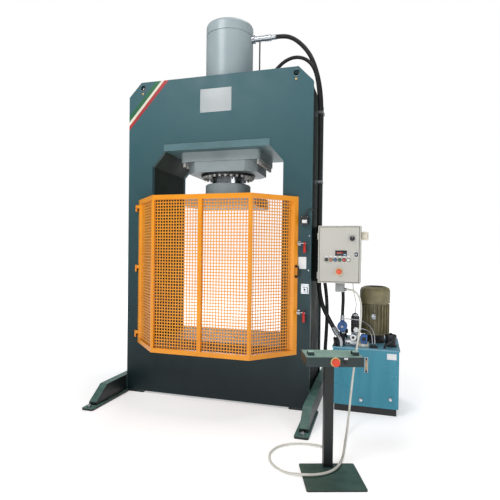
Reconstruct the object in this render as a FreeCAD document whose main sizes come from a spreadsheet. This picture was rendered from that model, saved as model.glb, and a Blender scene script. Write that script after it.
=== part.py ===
# A hydraulic press with a portal frame, its guards, its control cabinet, its power unit and its two-hand console.
# Millimetres. X runs to the right, Y to the back, Z up. The origin is on the floor at the middle of the frame.

import FreeCAD
import Part
import math
import os
import Sketcher

V = FreeCAD.Vector
UP = V(0, 0, 1)

# The driving sizes. Each becomes a cell of the spreadsheet, and every sub-part is bound to those cells.
SIZES = {
    # portal frame
    "frame_half": 1000, "frame_y": 419, "frame_top": 3345, "plate": 50, "pad_high": 20, "gap_half": 715,
    "gap_top": 2595, "gap_bottom": 520, "bar_half": 577, "bar_top": 2663, "bar_proud": 8,
    "gusset_low": 2437, "shoulder": 145, "shoulder_drop": 149, "web": 25, "web_inset": 15, "lift_x": 834,
    "lift_z": 3286, "lift_radius": 30, "table_half": 700, "table_y": 400, "table_top": 600, "rib_gap": 320,
    "rib": 40, "top_plate": 50,
    # feet
    "foot_wide": 80, "foot_high": 180, "foot_reach": 545, "foot_level": 365, "foot_tip": 50, "pad_in": 970,
    "pad_out": 1095, "pad_reach": 645, "pad_round": 20, "anchor_x": 1040, "anchor_y": 1018,
    "anchor_radius": 11, "sole_wide": 200,
    # cylinder
    "barrel_radius": 260, "bore_radius": 220, "barrel_top": 4023, "barrel_low": 2505, "barrel_round": 26,
    "cap_groove": 120, "groove_deep": 8, "groove_high": 12, "barrel_fit": 0.5, "flange_half": 442,
    "flange_y": 306, "flange_low": 2495, "flange_round": 45, "head_half": 390, "head_y": 295,
    "head_low": 2380, "head_chamfer": 110, "head_bore": 186, "gland_radius": 300, "gland_low": 2356,
    "gland_edge": 6, "gland_bolt_circle": 274, "gland_bolts": 28, "gland_bolt": 14, "gland_bolt_high": 22,
    "flange_bolt_x": 416, "flange_bolt_gap": 84, "flange_bolt": 16, "flange_bolt_high": 46,
    # ram
    "rod_radius": 180, "slide_fit": 0.08, "piston_low": 3560, "piston_high": 150, "drum_radius": 250,
    "drum_top": 2270, "platen_top": 2130, "platen_low": 2020, "platen_half": 395, "platen_y": 300,
    "platen_edge": 12,
    # guards
    "guard_low": 543, "guard_top": 2080, "guard_half": 872, "fold_half": 502, "guard_gap": 3,
    "guard_deep": 381, "rail": 45, "slant_rail": 63, "post_step": 31.5, "mid_post": 40, "fold_post": 24,
    "fold_bend": 16, "fold_inner": 26, "fold_deep": 36, "sheet_in": 21, "sheet_thick": 3, "sheet_gap": 0.2,
    "sheet_stop": 17.2, "hinge_x": 889, "hinge_y": 442, "hinge_radius": 9, "hinge_pin": 6, "hinge_long": 34,
    "hinge_gap": 1, "hinge_leaf": 6, "pin_fit": 0.1, "hinge_top": 1990, "hinge_mid": 1345,
    "hinge_bottom": 640, "handle_low": 1305, "handle_high": 1405, "handle_dia": 18,
    # latches, catch and switch on the right upright
    "latch_left": 877, "latch_right": 958, "latch_y": 458, "latch_high": 100, "latch_base": 22,
    "upper_latch_z": 1540, "lower_latch_z": 872, "latch_sheet": 6, "latch_bar": 6, "grip_radius": 13,
    "grip_long": 74, "grip_x": 943, "switch_left": 902, "switch_right": 975, "switch_low": 1805,
    "switch_high": 1892, "switch_deep": 42, "catch_left": 908, "catch_right": 985, "catch_low": 1140,
    "catch_high": 1235,
    # control cabinet
    "cab_left": 1068, "cab_right": 1462, "cab_low": 1252, "cab_high": 1797, "cab_front": 418,
    "cab_back": 218, "cab_sheet": 3, "door_thick": 18, "door_gap": 1, "door_hinge_x": 1062, "bezel_rise": 5,
    "knob_x": 1387, "knob_z": 1676, "knob_radius": 23, "row_z": 1474, "row_left": 1147, "row_step": 41.5,
    "button_radius": 13.5, "button_travel": 4, "knob_deep": 14, "stop_deep": 15, "turn_bar": 10,
    "stop_x": 1268, "stop_z": 1362, "stop_radius": 26, "lock_x": 1424, "lock_z": 1526, "socket_right": 1530,
    "socket_low": 1663, "socket_high": 1742, "box_left": 1230, "box_right": 1314, "box_low": 1166,
    "box_front": 372, "box_back": 288, "conduit_y": 330, "conduit_z": 1188, "gland_out": 16,
    "socket_front": 368, "socket_back": 290, "back_plate": 8,
    # power unit
    "tank_left": 1210, "tank_right": 1826, "tank_front": 302, "tank_back": 330, "tank_base": 68,
    "tank_top": 614, "tank_wall": 5, "skirt_in": 18, "skirt_back": 14, "skirt_wide": 40, "lid": 12,
    "lid_over": 8, "motor_x": 1595, "motor_y": 100, "bell_radius": 118, "bell_top": 712,
    "motor_radius": 128, "fin_out": 148, "fin": 6, "fin_count": 24, "stator_top": 1028, "cowl_radius": 152,
    "cowl_top": 1196, "shaft_radius": 19, "core_radius": 84, "air_gap": 1, "fan_radius": 128,
    "pump_hang": 120, "pump_low": 240, "pump_half": 58, "pump_deep": 66, "pipe_x": 20, "gauge_x": 1528,
    "gauge_wide": 36, "gauge_low": 395, "gauge_high": 545, "valve_y": 190, "round_x": 1290, "round_z": 812,
    "round_radius": 48, "coil_x": 1411, "coil_top": 944, "coil_radius": 41, "wide_coil_x": 1500,
    "wide_coil": 32, "wide_coil_high": 88, "low_coil_x": 1400, "low_coil": 27, "block_high": 62,
    "tower_high": 128, "block_mid": 1446, "plinth_high": 34, "dial_x": 1427, "dial_z": 795,
    "dial_radius": 27,
    # two-hand console
    "stand_turn": 18, "stand_x": 1335, "stand_y": -1597, "base_wide": 400, "base_deep": 362,
    "base_high": 10, "post_wide": 66, "post_deep": 56, "post_back": 138, "console_low": 755,
    "console_high": 822, "console_wide": 400, "console_top_wide": 404, "console_deep": 230,
    "console_shift": 20, "palm_x": 158, "palm_y": 103, "palm_radius": 20, "palm_travel": 6, "hood": 3,
    "hood_gap": 8, "hood_long": 44, "console_stop_x": 22, "console_turn_x": 95,
    # hoses
    "main_dia": 45, "return_dia": 36, "pilot_dia": 32, "conduit_dia": 20, "wire_dia": 9, "clamp_high": 26,
    "clamp_slack": 3,
}


class Size:
    """A number together with the spreadsheet expression that gives it."""

    def __init__(self, text, value):
        self.text = text
        self.value = value

    def join(self, sign, other, value):
        return Size("(%s %s %s)" % (self.text, sign, as_size(other).text), value)

    def __add__(self, other):
        return self.join("+", other, self.value + as_size(other).value)

    def __sub__(self, other):
        return self.join("-", other, self.value - as_size(other).value)

    def __mul__(self, other):
        return self.join("*", other, self.value * as_size(other).value)

    def __truediv__(self, other):
        return self.join("/", other, self.value / as_size(other).value)

    def __radd__(self, other):
        return as_size(other) + self

    def __rsub__(self, other):
        return as_size(other) - self

    def __rmul__(self, other):
        return as_size(other) * self

    def __neg__(self):
        return Size("(-1 * %s)" % self.text, -self.value)


def as_size(number):
    return number if isinstance(number, Size) else Size(repr(float(number)), float(number))


class Cells:
    """The spreadsheet's cells by name."""


doc = FreeCAD.newDocument("hydraulic_press")
sheet = doc.addObject("Spreadsheet::Sheet", "sizes")
S = Cells()
for row, (alias, number) in enumerate(SIZES.items(), 1):
    sheet.set("A%d" % row, alias)
    sheet.set("B%d" % row, str(number))
    sheet.setAlias("B%d" % row, alias)
    setattr(S, alias, Size("sizes." + alias, number))
doc.recompute()

SUBPARTS = []


# ---------------------------------------------------------------- small helpers


def bind(thing, path, size):
    thing.setExpression(path, as_size(size).text)


def place(thing, x, y, z, turn=None):
    """Puts a thing at a place bound to the sheet, turned by an axis and an angle if one is given."""
    if turn:
        thing.Placement = FreeCAD.Placement(V(0, 0, 0), FreeCAD.Rotation(turn[0], turn[1]))
    for axis, size in zip("xyz", (x, y, z)):
        bind(thing, "Placement.Base." + axis, size)
    return thing


def box(name, x, y, z):
    """A block between two values along each axis."""
    block = doc.addObject("Part::Box", name)
    for path, (low, high) in zip(("Length", "Width", "Height"), (x, y, z)):
        bind(block, path, as_size(high) - low)
    return place(block, x[0], y[0], z[0])


TURNS = {"z": None, "x": (V(0, 1, 0), 90), "y": (V(1, 0, 0), -90)}


def cylinder(name, radius, x, y, z, length, along="z"):
    """A round bar that starts at a point and runs along +X, +Y or +Z."""
    bar = doc.addObject("Part::Cylinder", name)
    bind(bar, "Radius", radius)
    bind(bar, "Height", length)
    return place(bar, x, y, z, TURNS[along])


def joined(name, kind, parts):
    both = doc.addObject(kind, name)
    if kind == "Part::Compound":
        both.Links = parts
    else:
        both.Shapes = parts
    return both


def fuse(name, *parts):
    return joined(name, "Part::MultiFuse", list(parts))


def group(name, *parts):
    """Separate solids of one kind, kept as one sub-part."""
    return joined(name, "Part::Compound", list(parts))


def cut(name, base, *tools):
    left = doc.addObject("Part::Cut", name)
    left.Base = base
    left.Tool = tools[0] if len(tools) == 1 else fuse(name + "_tool", *tools)
    return left


def trim_edges(name, kind, base, size, wanted):
    """A fillet or a chamfer on the edges that the test accepts."""
    doc.recompute()
    trimmed = doc.addObject(kind, name)
    trimmed.Base = base
    edges = [i for i, edge in enumerate(base.Shape.Edges, 1) if wanted(edge)]
    trimmed.Edges = [(i, size.value, size.value) for i in edges]
    return trimmed


def upright(edge):
    """True for a straight vertical edge."""
    if edge.Curve.TypeId != "Part::GeomLine":
        return False
    return abs(edge.Curve.Direction.z) > 0.99


def sketch_on(body, role, outline):
    """A closed outline on one of the body's own planes, every corner bound to the sheet."""
    sketch = body.newObject("Sketcher::SketchObject", body.Name + "_outline")
    planes = [plane for plane in body.Origin.OriginFeatures if plane.Role == role]
    sketch.AttachmentSupport = (planes[0], "")
    sketch.MapMode = "FlatFace"
    corners = [(as_size(a), as_size(b)) for a, b in outline]
    count = len(corners)
    for i in range(count):
        (a, b), (c, d) = corners[i], corners[(i + 1) % count]
        sketch.addGeometry(Part.LineSegment(V(a.value, b.value, 0), V(c.value, d.value, 0)))
    for i in range(count):
        sketch.addConstraint(Sketcher.Constraint("Coincident", i, 2, (i + 1) % count, 1))
    for i, corner in enumerate(corners):
        for kind, size in zip(("DistanceX", "DistanceY"), corner):
            number = sketch.addConstraint(Sketcher.Constraint(kind, -1, 1, i, 1, size.value))
            sketch.setExpression("Constraints[%d]" % number, size.text)
    return sketch


def pad(name, role, outline, low, high):
    """A flat outline pushed out between two values along the plane's own axis."""
    body = doc.addObject("PartDesign::Body", name)
    sketch = sketch_on(body, role, outline)
    feature = body.newObject("PartDesign::Pad", name + "_pad")
    feature.Profile = sketch
    bind(feature, "Length", as_size(high) - low)
    feature.Reversed = role == "XZ_Plane"
    axis = {"XY_Plane": "z", "XZ_Plane": "y", "YZ_Plane": "x"}[role]
    bind(body, "Placement.Base." + axis, low)
    return body


def turned(name, outline, x=0, y=0, z=0, turn=None):
    """A turned piece: an outline of radius and height spun about its own Z axis."""
    body = doc.addObject("PartDesign::Body", name)
    sketch = sketch_on(body, "XZ_Plane", outline)
    feature = body.newObject("PartDesign::Revolution", name + "_spin")
    feature.Profile = sketch
    feature.ReferenceAxis = (sketch, ["V_Axis"])
    feature.Angle = 360
    return place(body, x, y, z, turn)


def keep(thing, label=None):
    """Marks a finished sub-part. Its Label names its file."""
    thing.Label = label or thing.Name
    SUBPARTS.append(thing)
    return thing


# ---------------------------------------------------------------- the welded portal frame


def side_plate(name, low, high):
    """One of the two thick plates, cut out to a portal, with its lifting holes."""
    half, gap = S.frame_half, S.gap_half
    outside = [(-half, S.pad_high), (half, S.pad_high), (half, S.frame_top - S.shoulder_drop),
               (half - S.shoulder, S.frame_top), (S.shoulder - half, S.frame_top),
               (-half, S.frame_top - S.shoulder_drop)]
    opening = [(-gap, S.gap_bottom), (gap, S.gap_bottom), (gap, S.gusset_low), (S.bar_half, S.gap_top),
               (S.bar_half, S.bar_top), (-S.bar_half, S.bar_top), (-S.bar_half, S.gap_top), (-gap, S.gusset_low)]
    whole = pad(name + "_whole", "XZ_Plane", outside, low, high)
    portal = pad(name + "_portal", "XZ_Plane", opening, low - 1, high + 1)
    holes = [cylinder("%s_lift_%d" % (name, side + 1), S.lift_radius, side * S.lift_x, low - 1, S.lift_z,
                      S.plate + 2, "y") for side in (-1, 1)]
    return keep(cut(name, whole, portal, *holes))


def column_webs():
    """Inner and outer walls of both uprights, each pair joining the two plates, and the plate behind the cabinet."""
    depth = S.frame_y - S.plate
    pieces = []
    for side, label in ((-1, "left"), (1, "right")):
        gap, web = S.gap_half, S.web
        inner = [(gap, S.gap_bottom), (gap, S.gusset_low), (S.bar_half, S.gap_top), (S.bar_half, S.bar_top),
                 (S.bar_half + web, S.bar_top), (S.bar_half + web, S.gap_top + 9), (gap + web, S.gusset_low + 9),
                 (gap + web, S.gap_bottom)]
        wall = S.frame_half - S.web_inset
        bend = S.frame_top - S.shoulder_drop - 6
        outer = [(wall, S.pad_high), (wall, bend), (S.frame_half - S.shoulder - 6, S.frame_top - S.top_plate),
                 (S.frame_half - S.shoulder - 41, S.frame_top - S.top_plate), (wall - web, bend - 20),
                 (wall - web, S.pad_high)]
        for name, outline in (("inner", inner), ("outer", outer)):
            outline = [(side * a, b) for a, b in outline]
            pieces.append(pad("%s_%s_web" % (label, name), "XZ_Plane", outline, -depth, depth))
    pieces.append(box("cabinet_plate", (S.frame_half - S.web_inset, S.cab_right),
                      (-S.cab_back, S.back_plate - S.cab_back), (S.cab_low, S.cab_high)))
    return keep(group("column_webs", *pieces))


def crosshead_plates():
    """Thick lower plate, whose edges stand a little proud, and the top plate, both bored for the cylinder."""
    reach = S.frame_y + S.bar_proud
    lower = box("lower_plate", (-S.bar_half, S.bar_half), (-reach, reach), (S.gap_top, S.bar_top))
    depth = S.frame_y - S.plate
    across = S.frame_half - S.shoulder
    upper = box("upper_plate", (-across, across), (-depth, depth), (S.frame_top - S.top_plate, S.frame_top))
    bore = cylinder("crosshead_bore", S.barrel_radius + S.barrel_fit, 0, 0, S.gap_top - 1, 900)
    return keep(cut("crosshead_plates", group("crosshead_pair", lower, upper), bore))


def bed_plates():
    """The table plate on its ribs between the two plates."""
    depth = S.frame_y - S.plate
    table = box("table", (-S.table_half, S.table_half), (-S.table_y, S.table_y), (S.gap_bottom, S.table_top))
    ribs = [box("rib", (i * S.rib_gap - S.rib / 2, i * S.rib_gap + S.rib / 2), (-depth, depth),
                (S.pad_high, S.gap_bottom)) for i in (-1, 0, 1)]
    return keep(fuse("bed_plates", table, *ribs))


def feet():
    """A fore-and-aft beam outside each upright on two anchored base plates, and soles under the uprights."""
    reach = S.frame_y + S.foot_reach
    level = S.frame_y + S.foot_level
    outline = [(-reach, S.pad_high), (reach, S.pad_high), (reach, S.foot_tip), (level, S.foot_high),
               (-level, S.foot_high), (-reach, S.foot_tip)]
    pieces = []
    for side, label in ((-1, "left"), (1, "right")):
        inner, outer = S.frame_half, S.frame_half + S.foot_wide
        low, high = (inner, outer) if side > 0 else (-outer, -inner)
        beam = pad(label + "_beam", "YZ_Plane", outline, low, high)
        x_low, x_high = (S.pad_in, S.pad_out) if side > 0 else (-S.pad_out, -S.pad_in)
        solids, holes = [beam], []
        for end in (-1, 1):
            near = end * (S.frame_y + S.pad_reach)
            far = end * S.frame_y
            span = (near, far) if end < 0 else (far, near)
            flat = box("pad", (x_low, x_high), span, (0, S.pad_high))
            solids.append(trim_edges("round_pad", "Part::Fillet", flat, S.pad_round, upright))
            holes.append(cylinder("anchor", S.anchor_radius, side * S.anchor_x, end * S.anchor_y, -1, S.pad_high + 60))
        pieces.append(cut(label + "_foot", fuse(label + "_foot_whole", *solids), *holes))
        s_low, s_high = ((S.frame_half - S.sole_wide, S.frame_half) if side > 0
                         else (-S.frame_half, S.sole_wide - S.frame_half))
        pieces.append(box(label + "_sole", (s_low, s_high), (-S.frame_y, S.frame_y), (0, S.pad_high)))
    return keep(group("feet", *pieces))


# ---------------------------------------------------------------- the cylinder and the ram


def cylinder_barrel():
    """Forged barrel, closed and rounded at its top, with a groove under the cap."""
    out, bore, top = S.barrel_radius, S.bore_radius, S.barrel_top
    groove = top - S.cap_groove
    outline = [(0, top), (out - S.barrel_round, top), (out - 8, top - 8), (out, top - S.barrel_round), (out, groove),
               (out - S.groove_deep, groove), (out - S.groove_deep, groove - S.groove_high),
               (out, groove - S.groove_high), (out, S.barrel_low), (bore, S.barrel_low), (bore, top - 70),
               (0, top - 70)]
    return keep(turned("cylinder_barrel", outline))


def cylinder_flange():
    """Rounded plate that carries the barrel under the crosshead."""
    half, deep = S.flange_half, S.flange_y
    plate = box("flange_block", (-half, half), (-deep, deep), (S.flange_low, S.gap_top))
    rounded = trim_edges("flange_round", "Part::Fillet", plate, S.flange_round, upright)
    bore = cylinder("flange_bore", S.barrel_radius + S.barrel_fit, 0, 0, S.barrel_low, 200)
    rod = cylinder("flange_rod_bore", S.head_bore, 0, 0, S.flange_low - 1, 200)
    return keep(cut("cylinder_flange", rounded, bore, rod))


def cylinder_head():
    """Lower block with chamfered corners, bored for the rod."""
    half, deep = S.head_half, S.head_y
    block = box("head_block", (-half, half), (-deep, deep), (S.head_low, S.flange_low))
    chamfered = trim_edges("head_chamfers", "Part::Chamfer", block, S.head_chamfer, upright)
    bore = cylinder("head_bore_cut", S.head_bore, 0, 0, S.head_low - 1, 200)
    return keep(cut("cylinder_head", chamfered, bore))


def gland_ring():
    """Round gland that guides the rod, with a stepped lower edge."""
    hole = S.rod_radius + S.slide_fit
    out = S.gland_radius
    outline = [(hole, S.head_low), (out, S.head_low), (out, S.gland_low + S.gland_edge),
               (out - S.gland_edge, S.gland_low),
               (hole, S.gland_low)]
    return keep(turned("gland_ring", outline))


def cylinder_bolts():
    """Bolt heads: a row of seven under each end of the flange, and a ring under the gland."""
    heads = []
    for side in (-1, 1):
        for i in range(7):
            heads.append(cylinder("flange_bolt", S.flange_bolt, side * S.flange_bolt_x, (i - 3) * S.flange_bolt_gap,
                                  S.flange_low - S.flange_bolt_high, S.flange_bolt_high))
    count = int(S.gland_bolts.value)
    for i in range(count):
        angle = math.tau * i / count
        heads.append(cylinder("gland_bolt", S.gland_bolt, S.gland_bolt_circle * math.cos(angle),
                              S.gland_bolt_circle * math.sin(angle), S.gland_low - S.gland_bolt_high,
                              S.gland_bolt_high))
    return keep(group("cylinder_bolts", *heads))


def ram_rod():
    """Chromed rod with its piston turned on the upper end."""
    rod, piston = S.rod_radius, S.bore_radius - S.slide_fit
    outline = [(0, S.drum_top), (rod, S.drum_top), (rod, S.piston_low), (piston, S.piston_low),
               (piston, S.piston_low + S.piston_high), (0, S.piston_low + S.piston_high)]
    return keep(turned("ram_rod", outline))


def ram_flange():
    out = S.drum_radius
    outline = [(0, S.platen_top), (out, S.platen_top), (out, S.drum_top - 10), (out - 10, S.drum_top),
               (0, S.drum_top)]
    return keep(turned("ram_flange", outline))


def platen():
    block = box("platen_block", (-S.platen_half, S.platen_half), (-S.platen_y, S.platen_y),
                (S.platen_low, S.platen_top))
    return keep(trim_edges("platen", "Part::Chamfer", block, S.platen_edge, upright))


# ---------------------------------------------------------------- the guards


def guard_outlines():
    """Plan outlines of a guard that is folded twice: the rails' band, its posts and its sheets."""
    back = -(S.frame_y + S.guard_gap)
    front = back - S.guard_deep
    lean = (S.guard_half - S.fold_half) / S.guard_deep

    def on_slant(inset, y):
        """The X on a line parallel to the slanted face, a horizontal distance inside it."""
        return S.guard_half - inset - (back - y) * lean

    inner = front + S.rail
    band = [(S.guard_half, back), (S.guard_half - S.slant_rail, back), (on_slant(S.slant_rail, inner), inner),
            (-on_slant(S.slant_rail, inner), inner), (S.slant_rail - S.guard_half, back), (-S.guard_half, back),
            (-S.fold_half, front), (S.fold_half, front)]
    step, bend = S.post_step, front + S.fold_bend
    bend_inner = bend + S.fold_inner * 0.96
    post = [(S.guard_half, back), (S.guard_half - S.slant_rail, back), (on_slant(S.slant_rail, back - step), back - step),
            (on_slant(0, back - step), back - step)]
    fold = [(S.fold_half, front), (S.fold_half - S.fold_post, front),
            (S.fold_half - S.fold_post, front + S.fold_deep),
            (on_slant(0, bend) - S.fold_inner, bend_inner), (on_slant(0, bend), bend)]
    near, far = S.sheet_in * 1.4, (S.sheet_in + S.sheet_thick) * 1.4
    start, stop = back - step - S.sheet_gap, bend + S.sheet_stop
    slant = [(on_slant(near, start), start), (on_slant(far, start), start), (on_slant(far, stop), stop),
             (on_slant(near, stop), stop)]
    return band, post, fold, slant, front


def guard(prefix):
    """Frame of square tube and the four sheets held in it."""
    band, post, fold, slant, front = guard_outlines()
    low, high = S.guard_low, S.guard_top
    pieces = [pad(prefix + "_low_rail", "XY_Plane", band, low, low + S.rail),
              pad(prefix + "_high_rail", "XY_Plane", band, high - S.rail, high),
              box(prefix + "_mid_post", (-S.mid_post / 2, S.mid_post / 2), (front, front + S.rail), (low, high))]
    sheets = []
    for side in (-1, 1):
        for name, outline in (("post", post), ("fold", fold)):
            outline = [(side * a, b) for a, b in outline]
            pieces.append(pad("%s_%s" % (prefix, name), "XY_Plane", outline, low, high))
        outline = [(side * a, b) for a, b in slant]
        sheets.append(pad(prefix + "_slant_sheet", "XY_Plane", outline, low + S.rail, high - S.rail))
        near, far = S.mid_post / 2, S.fold_half - S.fold_post
        span = (near, far) if side > 0 else (-far, -near)
        sheets.append(box(prefix + "_flat_sheet", span, (front + S.sheet_in, front + S.sheet_in + S.sheet_thick),
                          (low + S.rail, high - S.rail)))
    return fuse(prefix + "_tubes", *pieces), group(prefix + "_sheets", *sheets)


HINGES = (("top", S.hinge_top), ("mid", S.hinge_mid), ("low", S.hinge_bottom))


def front_guard():
    """The hinged front guard with the moving half of its three hinges."""
    frame, mesh = guard("front_guard")
    y = -S.hinge_y
    pieces = [frame]
    for label, z in HINGES:
        knuckle = cylinder("moving_knuckle_" + label, S.hinge_radius, -S.hinge_x, y, z, S.hinge_long)
        leaf = box("moving_leaf_" + label, (-S.hinge_x, -S.guard_half + 36),
                   (y - S.hinge_leaf / 2, y + S.hinge_leaf / 2), (z, z + S.hinge_long))
        bore = cylinder("knuckle_bore_" + label, S.hinge_pin + S.pin_fit, -S.hinge_x, y, z - 1, S.hinge_long + 2)
        pieces.append(cut("hinge_half_" + label, fuse("hinge_blank_" + label, knuckle, leaf), bore))
    keep(fuse("guard_frame", *pieces))
    keep(mesh, "guard_mesh")


def guard_hinges():
    """The fixed half of the three hinges: a lug on the plate, a knuckle and the pin."""
    y = -S.hinge_y
    pieces = []
    for label, z in HINGES:
        low = z - S.hinge_long - S.hinge_gap
        knuckle = cylinder("fixed_knuckle_" + label, S.hinge_radius, -S.hinge_x, y, low, S.hinge_long)
        lug = box("lug_" + label, (-S.hinge_x - S.hinge_radius, -S.hinge_x), 
                  (y - S.hinge_leaf / 2, -S.frame_y), (low, low + S.hinge_long))
        pin = cylinder("pin_" + label, S.hinge_pin, -S.hinge_x, y, low, 2 * S.hinge_long + 4)
        pieces.append(fuse("fixed_hinge_" + label, knuckle, lug, pin))
    return keep(group("guard_hinges", *pieces))


def guard_handle():
    """Black bow handle, square to the slanted face of the guard's free post."""
    low, high = S.handle_low.value, S.handle_high.value
    sunk, out = (856, -437), (887, -467)
    bow = bent_pipe("guard_handle", S.handle_dia.value, (*sunk, high), (*out, high), (*out, low), (*sunk, low))
    return keep(bow)


# ---------------------------------------------------------------- latches, catch and switch


LATCHES = (("upper", S.upper_latch_z), ("lower", S.lower_latch_z))


def guard_catches():
    """Two latch brackets with their bars, and the catch plate between them."""
    face = -S.frame_y
    pieces = []
    for label, z in LATCHES:
        top = z + S.latch_high
        back = box("bracket_" + label, (S.latch_left, S.latch_left + S.latch_base), (face - S.latch_sheet, face),
                   (top - 34, top + 8))
        ear = box("ear_" + label, (S.latch_left, S.latch_left + S.latch_sheet), (-S.latch_y - 11, face),
                  (top - 24, top - 2))
        bar = cylinder("bar_" + label, S.latch_bar, S.latch_left, -S.latch_y, top - 13,
                       S.latch_right - S.latch_left, "x")
        pieces.append(fuse("latch_base_" + label, back, bar, ear))
    plate = box("catch_plate", (S.catch_left, S.catch_right), (face - 5, face), (S.catch_low, S.catch_high))
    nose = box("catch_nose", (S.catch_left + 14, S.catch_right - 14), (face - 34, face - 5),
               (S.catch_low + 8, S.catch_high - 34))
    pieces.append(fuse("catch", plate, nose))
    return keep(group("guard_catches", *pieces))


def latch_grip(label, z):
    """Red grip that hangs from the latch bar and lifts forward."""
    top = z + S.latch_high - 13
    sleeve = cylinder(label + "_sleeve", S.latch_bar + 5, S.grip_x - 11, -S.latch_y, top, 22, "x")
    shank = cylinder(label + "_shank", S.grip_radius - 5, S.grip_x, -S.latch_y, top - 22, 22)
    grip = cylinder(label + "_grip", S.grip_radius, S.grip_x, -S.latch_y, top - 18 - S.grip_long, S.grip_long)
    bore = cylinder(label + "_grip_bore", S.latch_bar + S.pin_fit, S.grip_x - 12, -S.latch_y, top, 24, "x")
    rounded = trim_edges(label + "_round_grip", "Part::Fillet", grip, as_size(6), lambda edge: edge.Closed)
    return keep(cut(label + "_latch", fuse(label + "_latch_whole", sleeve, shank, rounded), bore))


def guard_switch():
    """Position switch on the upright. Its moulded lead arches over to the side of the frame."""
    face = -S.frame_y
    body = box("switch_block", (S.switch_left, S.switch_right), (face - S.switch_deep, face),
               (S.switch_low, S.switch_high))
    rounded = trim_edges("switch_round", "Part::Fillet", body, as_size(6), upright)
    y = face.value - 22
    route = [V(951, y, S.switch_high.value - 6), V(951, y, 1925), V(985, y + 4, 1962), V(1024, y + 24, 1950),
             V(1030, y + 66, 1905)]
    lead = doc.addObject("Part::Feature", "switch_lead")
    lead.Shape = tube(route, 11)
    return keep(fuse("guard_switch", rounded, lead))


# ---------------------------------------------------------------- the control cabinet


DOOR_HINGES = (S.cab_low + 60, S.cab_high - 110)


def cabinet_shell():
    """Sheet-steel box, open at the front."""
    front = -S.cab_front + S.door_thick + S.door_gap
    wall = S.cab_sheet
    outer = box("shell_outer", (S.cab_left, S.cab_right), (front, -S.cab_back), (S.cab_low, S.cab_high))
    inner = box("shell_inner", (S.cab_left + wall, S.cab_right - wall), (front - 1, -S.cab_back - wall),
                (S.cab_low + wall, S.cab_high - wall))
    pieces = [cut("shell_box", outer, inner)]
    for z in DOOR_HINGES:
        low = z - 21
        pieces.append(cylinder("shell_knuckle", 5, S.door_hinge_x, front - 6, low, 20))
        pieces.append(box("shell_leaf", (S.door_hinge_x, S.door_hinge_x + 4), (front - 6, front + 16), (low, low + 20)))
        pieces.append(box("shell_lug", (S.door_hinge_x, S.cab_left + 1), (front + 4, front + 16), (low, low + 20)))
        pieces.append(cylinder("shell_pin", 2.5, S.door_hinge_x, front - 6, low, 64))
    return keep(fuse("cabinet_shell", *pieces))


def row_x(place_in_row):
    return S.row_left + place_in_row * S.row_step


def cabinet_door():
    """Folded door with the bezels of its controls and its hinge knuckles on the left."""
    face = -S.cab_front
    back = face + S.door_thick
    skin = box("door_skin", (S.cab_left, S.cab_right), (face, back), (S.cab_low, S.cab_high))
    tray = box("door_tray", (S.cab_left + 3, S.cab_right - 3), (face + 3, back + 1), (S.cab_low + 3, S.cab_high - 3))
    pieces = [cut("door_folded", skin, tray)]
    holes = []

    def bezel(x, z, hole, ring):
        pieces.append(cylinder("bezel", ring, x, face - S.bezel_rise, z, S.bezel_rise + 3, "y"))
        holes.append(cylinder("bezel_hole", hole, x, face - 20, z, 60, "y"))

    for i in range(6):
        bezel(row_x(i), S.row_z, S.button_radius + 0.5, S.button_radius + 4)
    bezel(S.stop_x, S.stop_z, as_size(9.5), as_size(30))
    bezel(S.knob_x, S.knob_z, as_size(7.1), S.knob_radius + 5)
    bezel(S.lock_x, S.lock_z, as_size(8.1), as_size(15))
    for z in DOOR_HINGES:
        pieces.append(cylinder("door_knuckle", 5, S.door_hinge_x, back - 5, z, 40))
        pieces.append(box("door_leaf", (S.door_hinge_x, S.cab_left + 2), (back - 7, back - 3), (z, z + 40)))
        holes.append(cylinder("door_knuckle_bore", 2.5 + S.slide_fit, S.door_hinge_x, back - 5, z - 1, 42))
    return keep(cut("cabinet_door", fuse("door_whole", *pieces), *holes))


def push_button(name, place_in_row):
    out = S.cab_front + S.bezel_rise + S.button_travel + 2
    stud = cylinder(name + "_stud", S.button_radius, row_x(place_in_row), -out, S.row_z, 34, "y")
    return keep(trim_edges(name, "Part::Fillet", stud, as_size(1.5), lambda edge: edge.Closed))


def signal_lamps():
    """Two lenses that stay still, at the second and the last place of the row."""
    out = S.cab_front + S.bezel_rise + 5
    return keep(group("signal_lamps", *[cylinder("lamp", S.button_radius + 0.5, row_x(i), -out, S.row_z, 30, "y")
                                         for i in (1, 5)]))


def selector(name, radius, x, y, z, stem_radius, stem):
    """A turning knob with a raised bar across its face, on a stem that passes through the panel."""
    disc = cylinder(name + "_disc", radius, x, y, z, S.knob_deep, "y")
    bar = box(name + "_bar", (x - S.turn_bar / 2, x + S.turn_bar / 2), (y - S.knob_deep, y),
              (z - radius + 2, z + radius - 2))
    shaft = cylinder(name + "_stem", stem_radius, x, y + S.knob_deep, z, stem, "y")
    return keep(fuse(name, disc, bar, shaft))


def mushroom(name, radius, x, y, z, stem_radius, stem):
    """A mushroom-headed stop button that faces the front."""
    head = cylinder(name + "_head", radius, x, y, z, S.stop_deep, "y")
    dome = trim_edges(name + "_dome", "Part::Fillet", head, as_size(5), lambda edge: edge.Closed and
                      edge.CenterOfMass.y < y.value + 1)
    shaft = cylinder(name + "_stem", stem_radius, x, y + S.stop_deep, z, stem, "y")
    return keep(fuse(name, dome, shaft))


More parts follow.
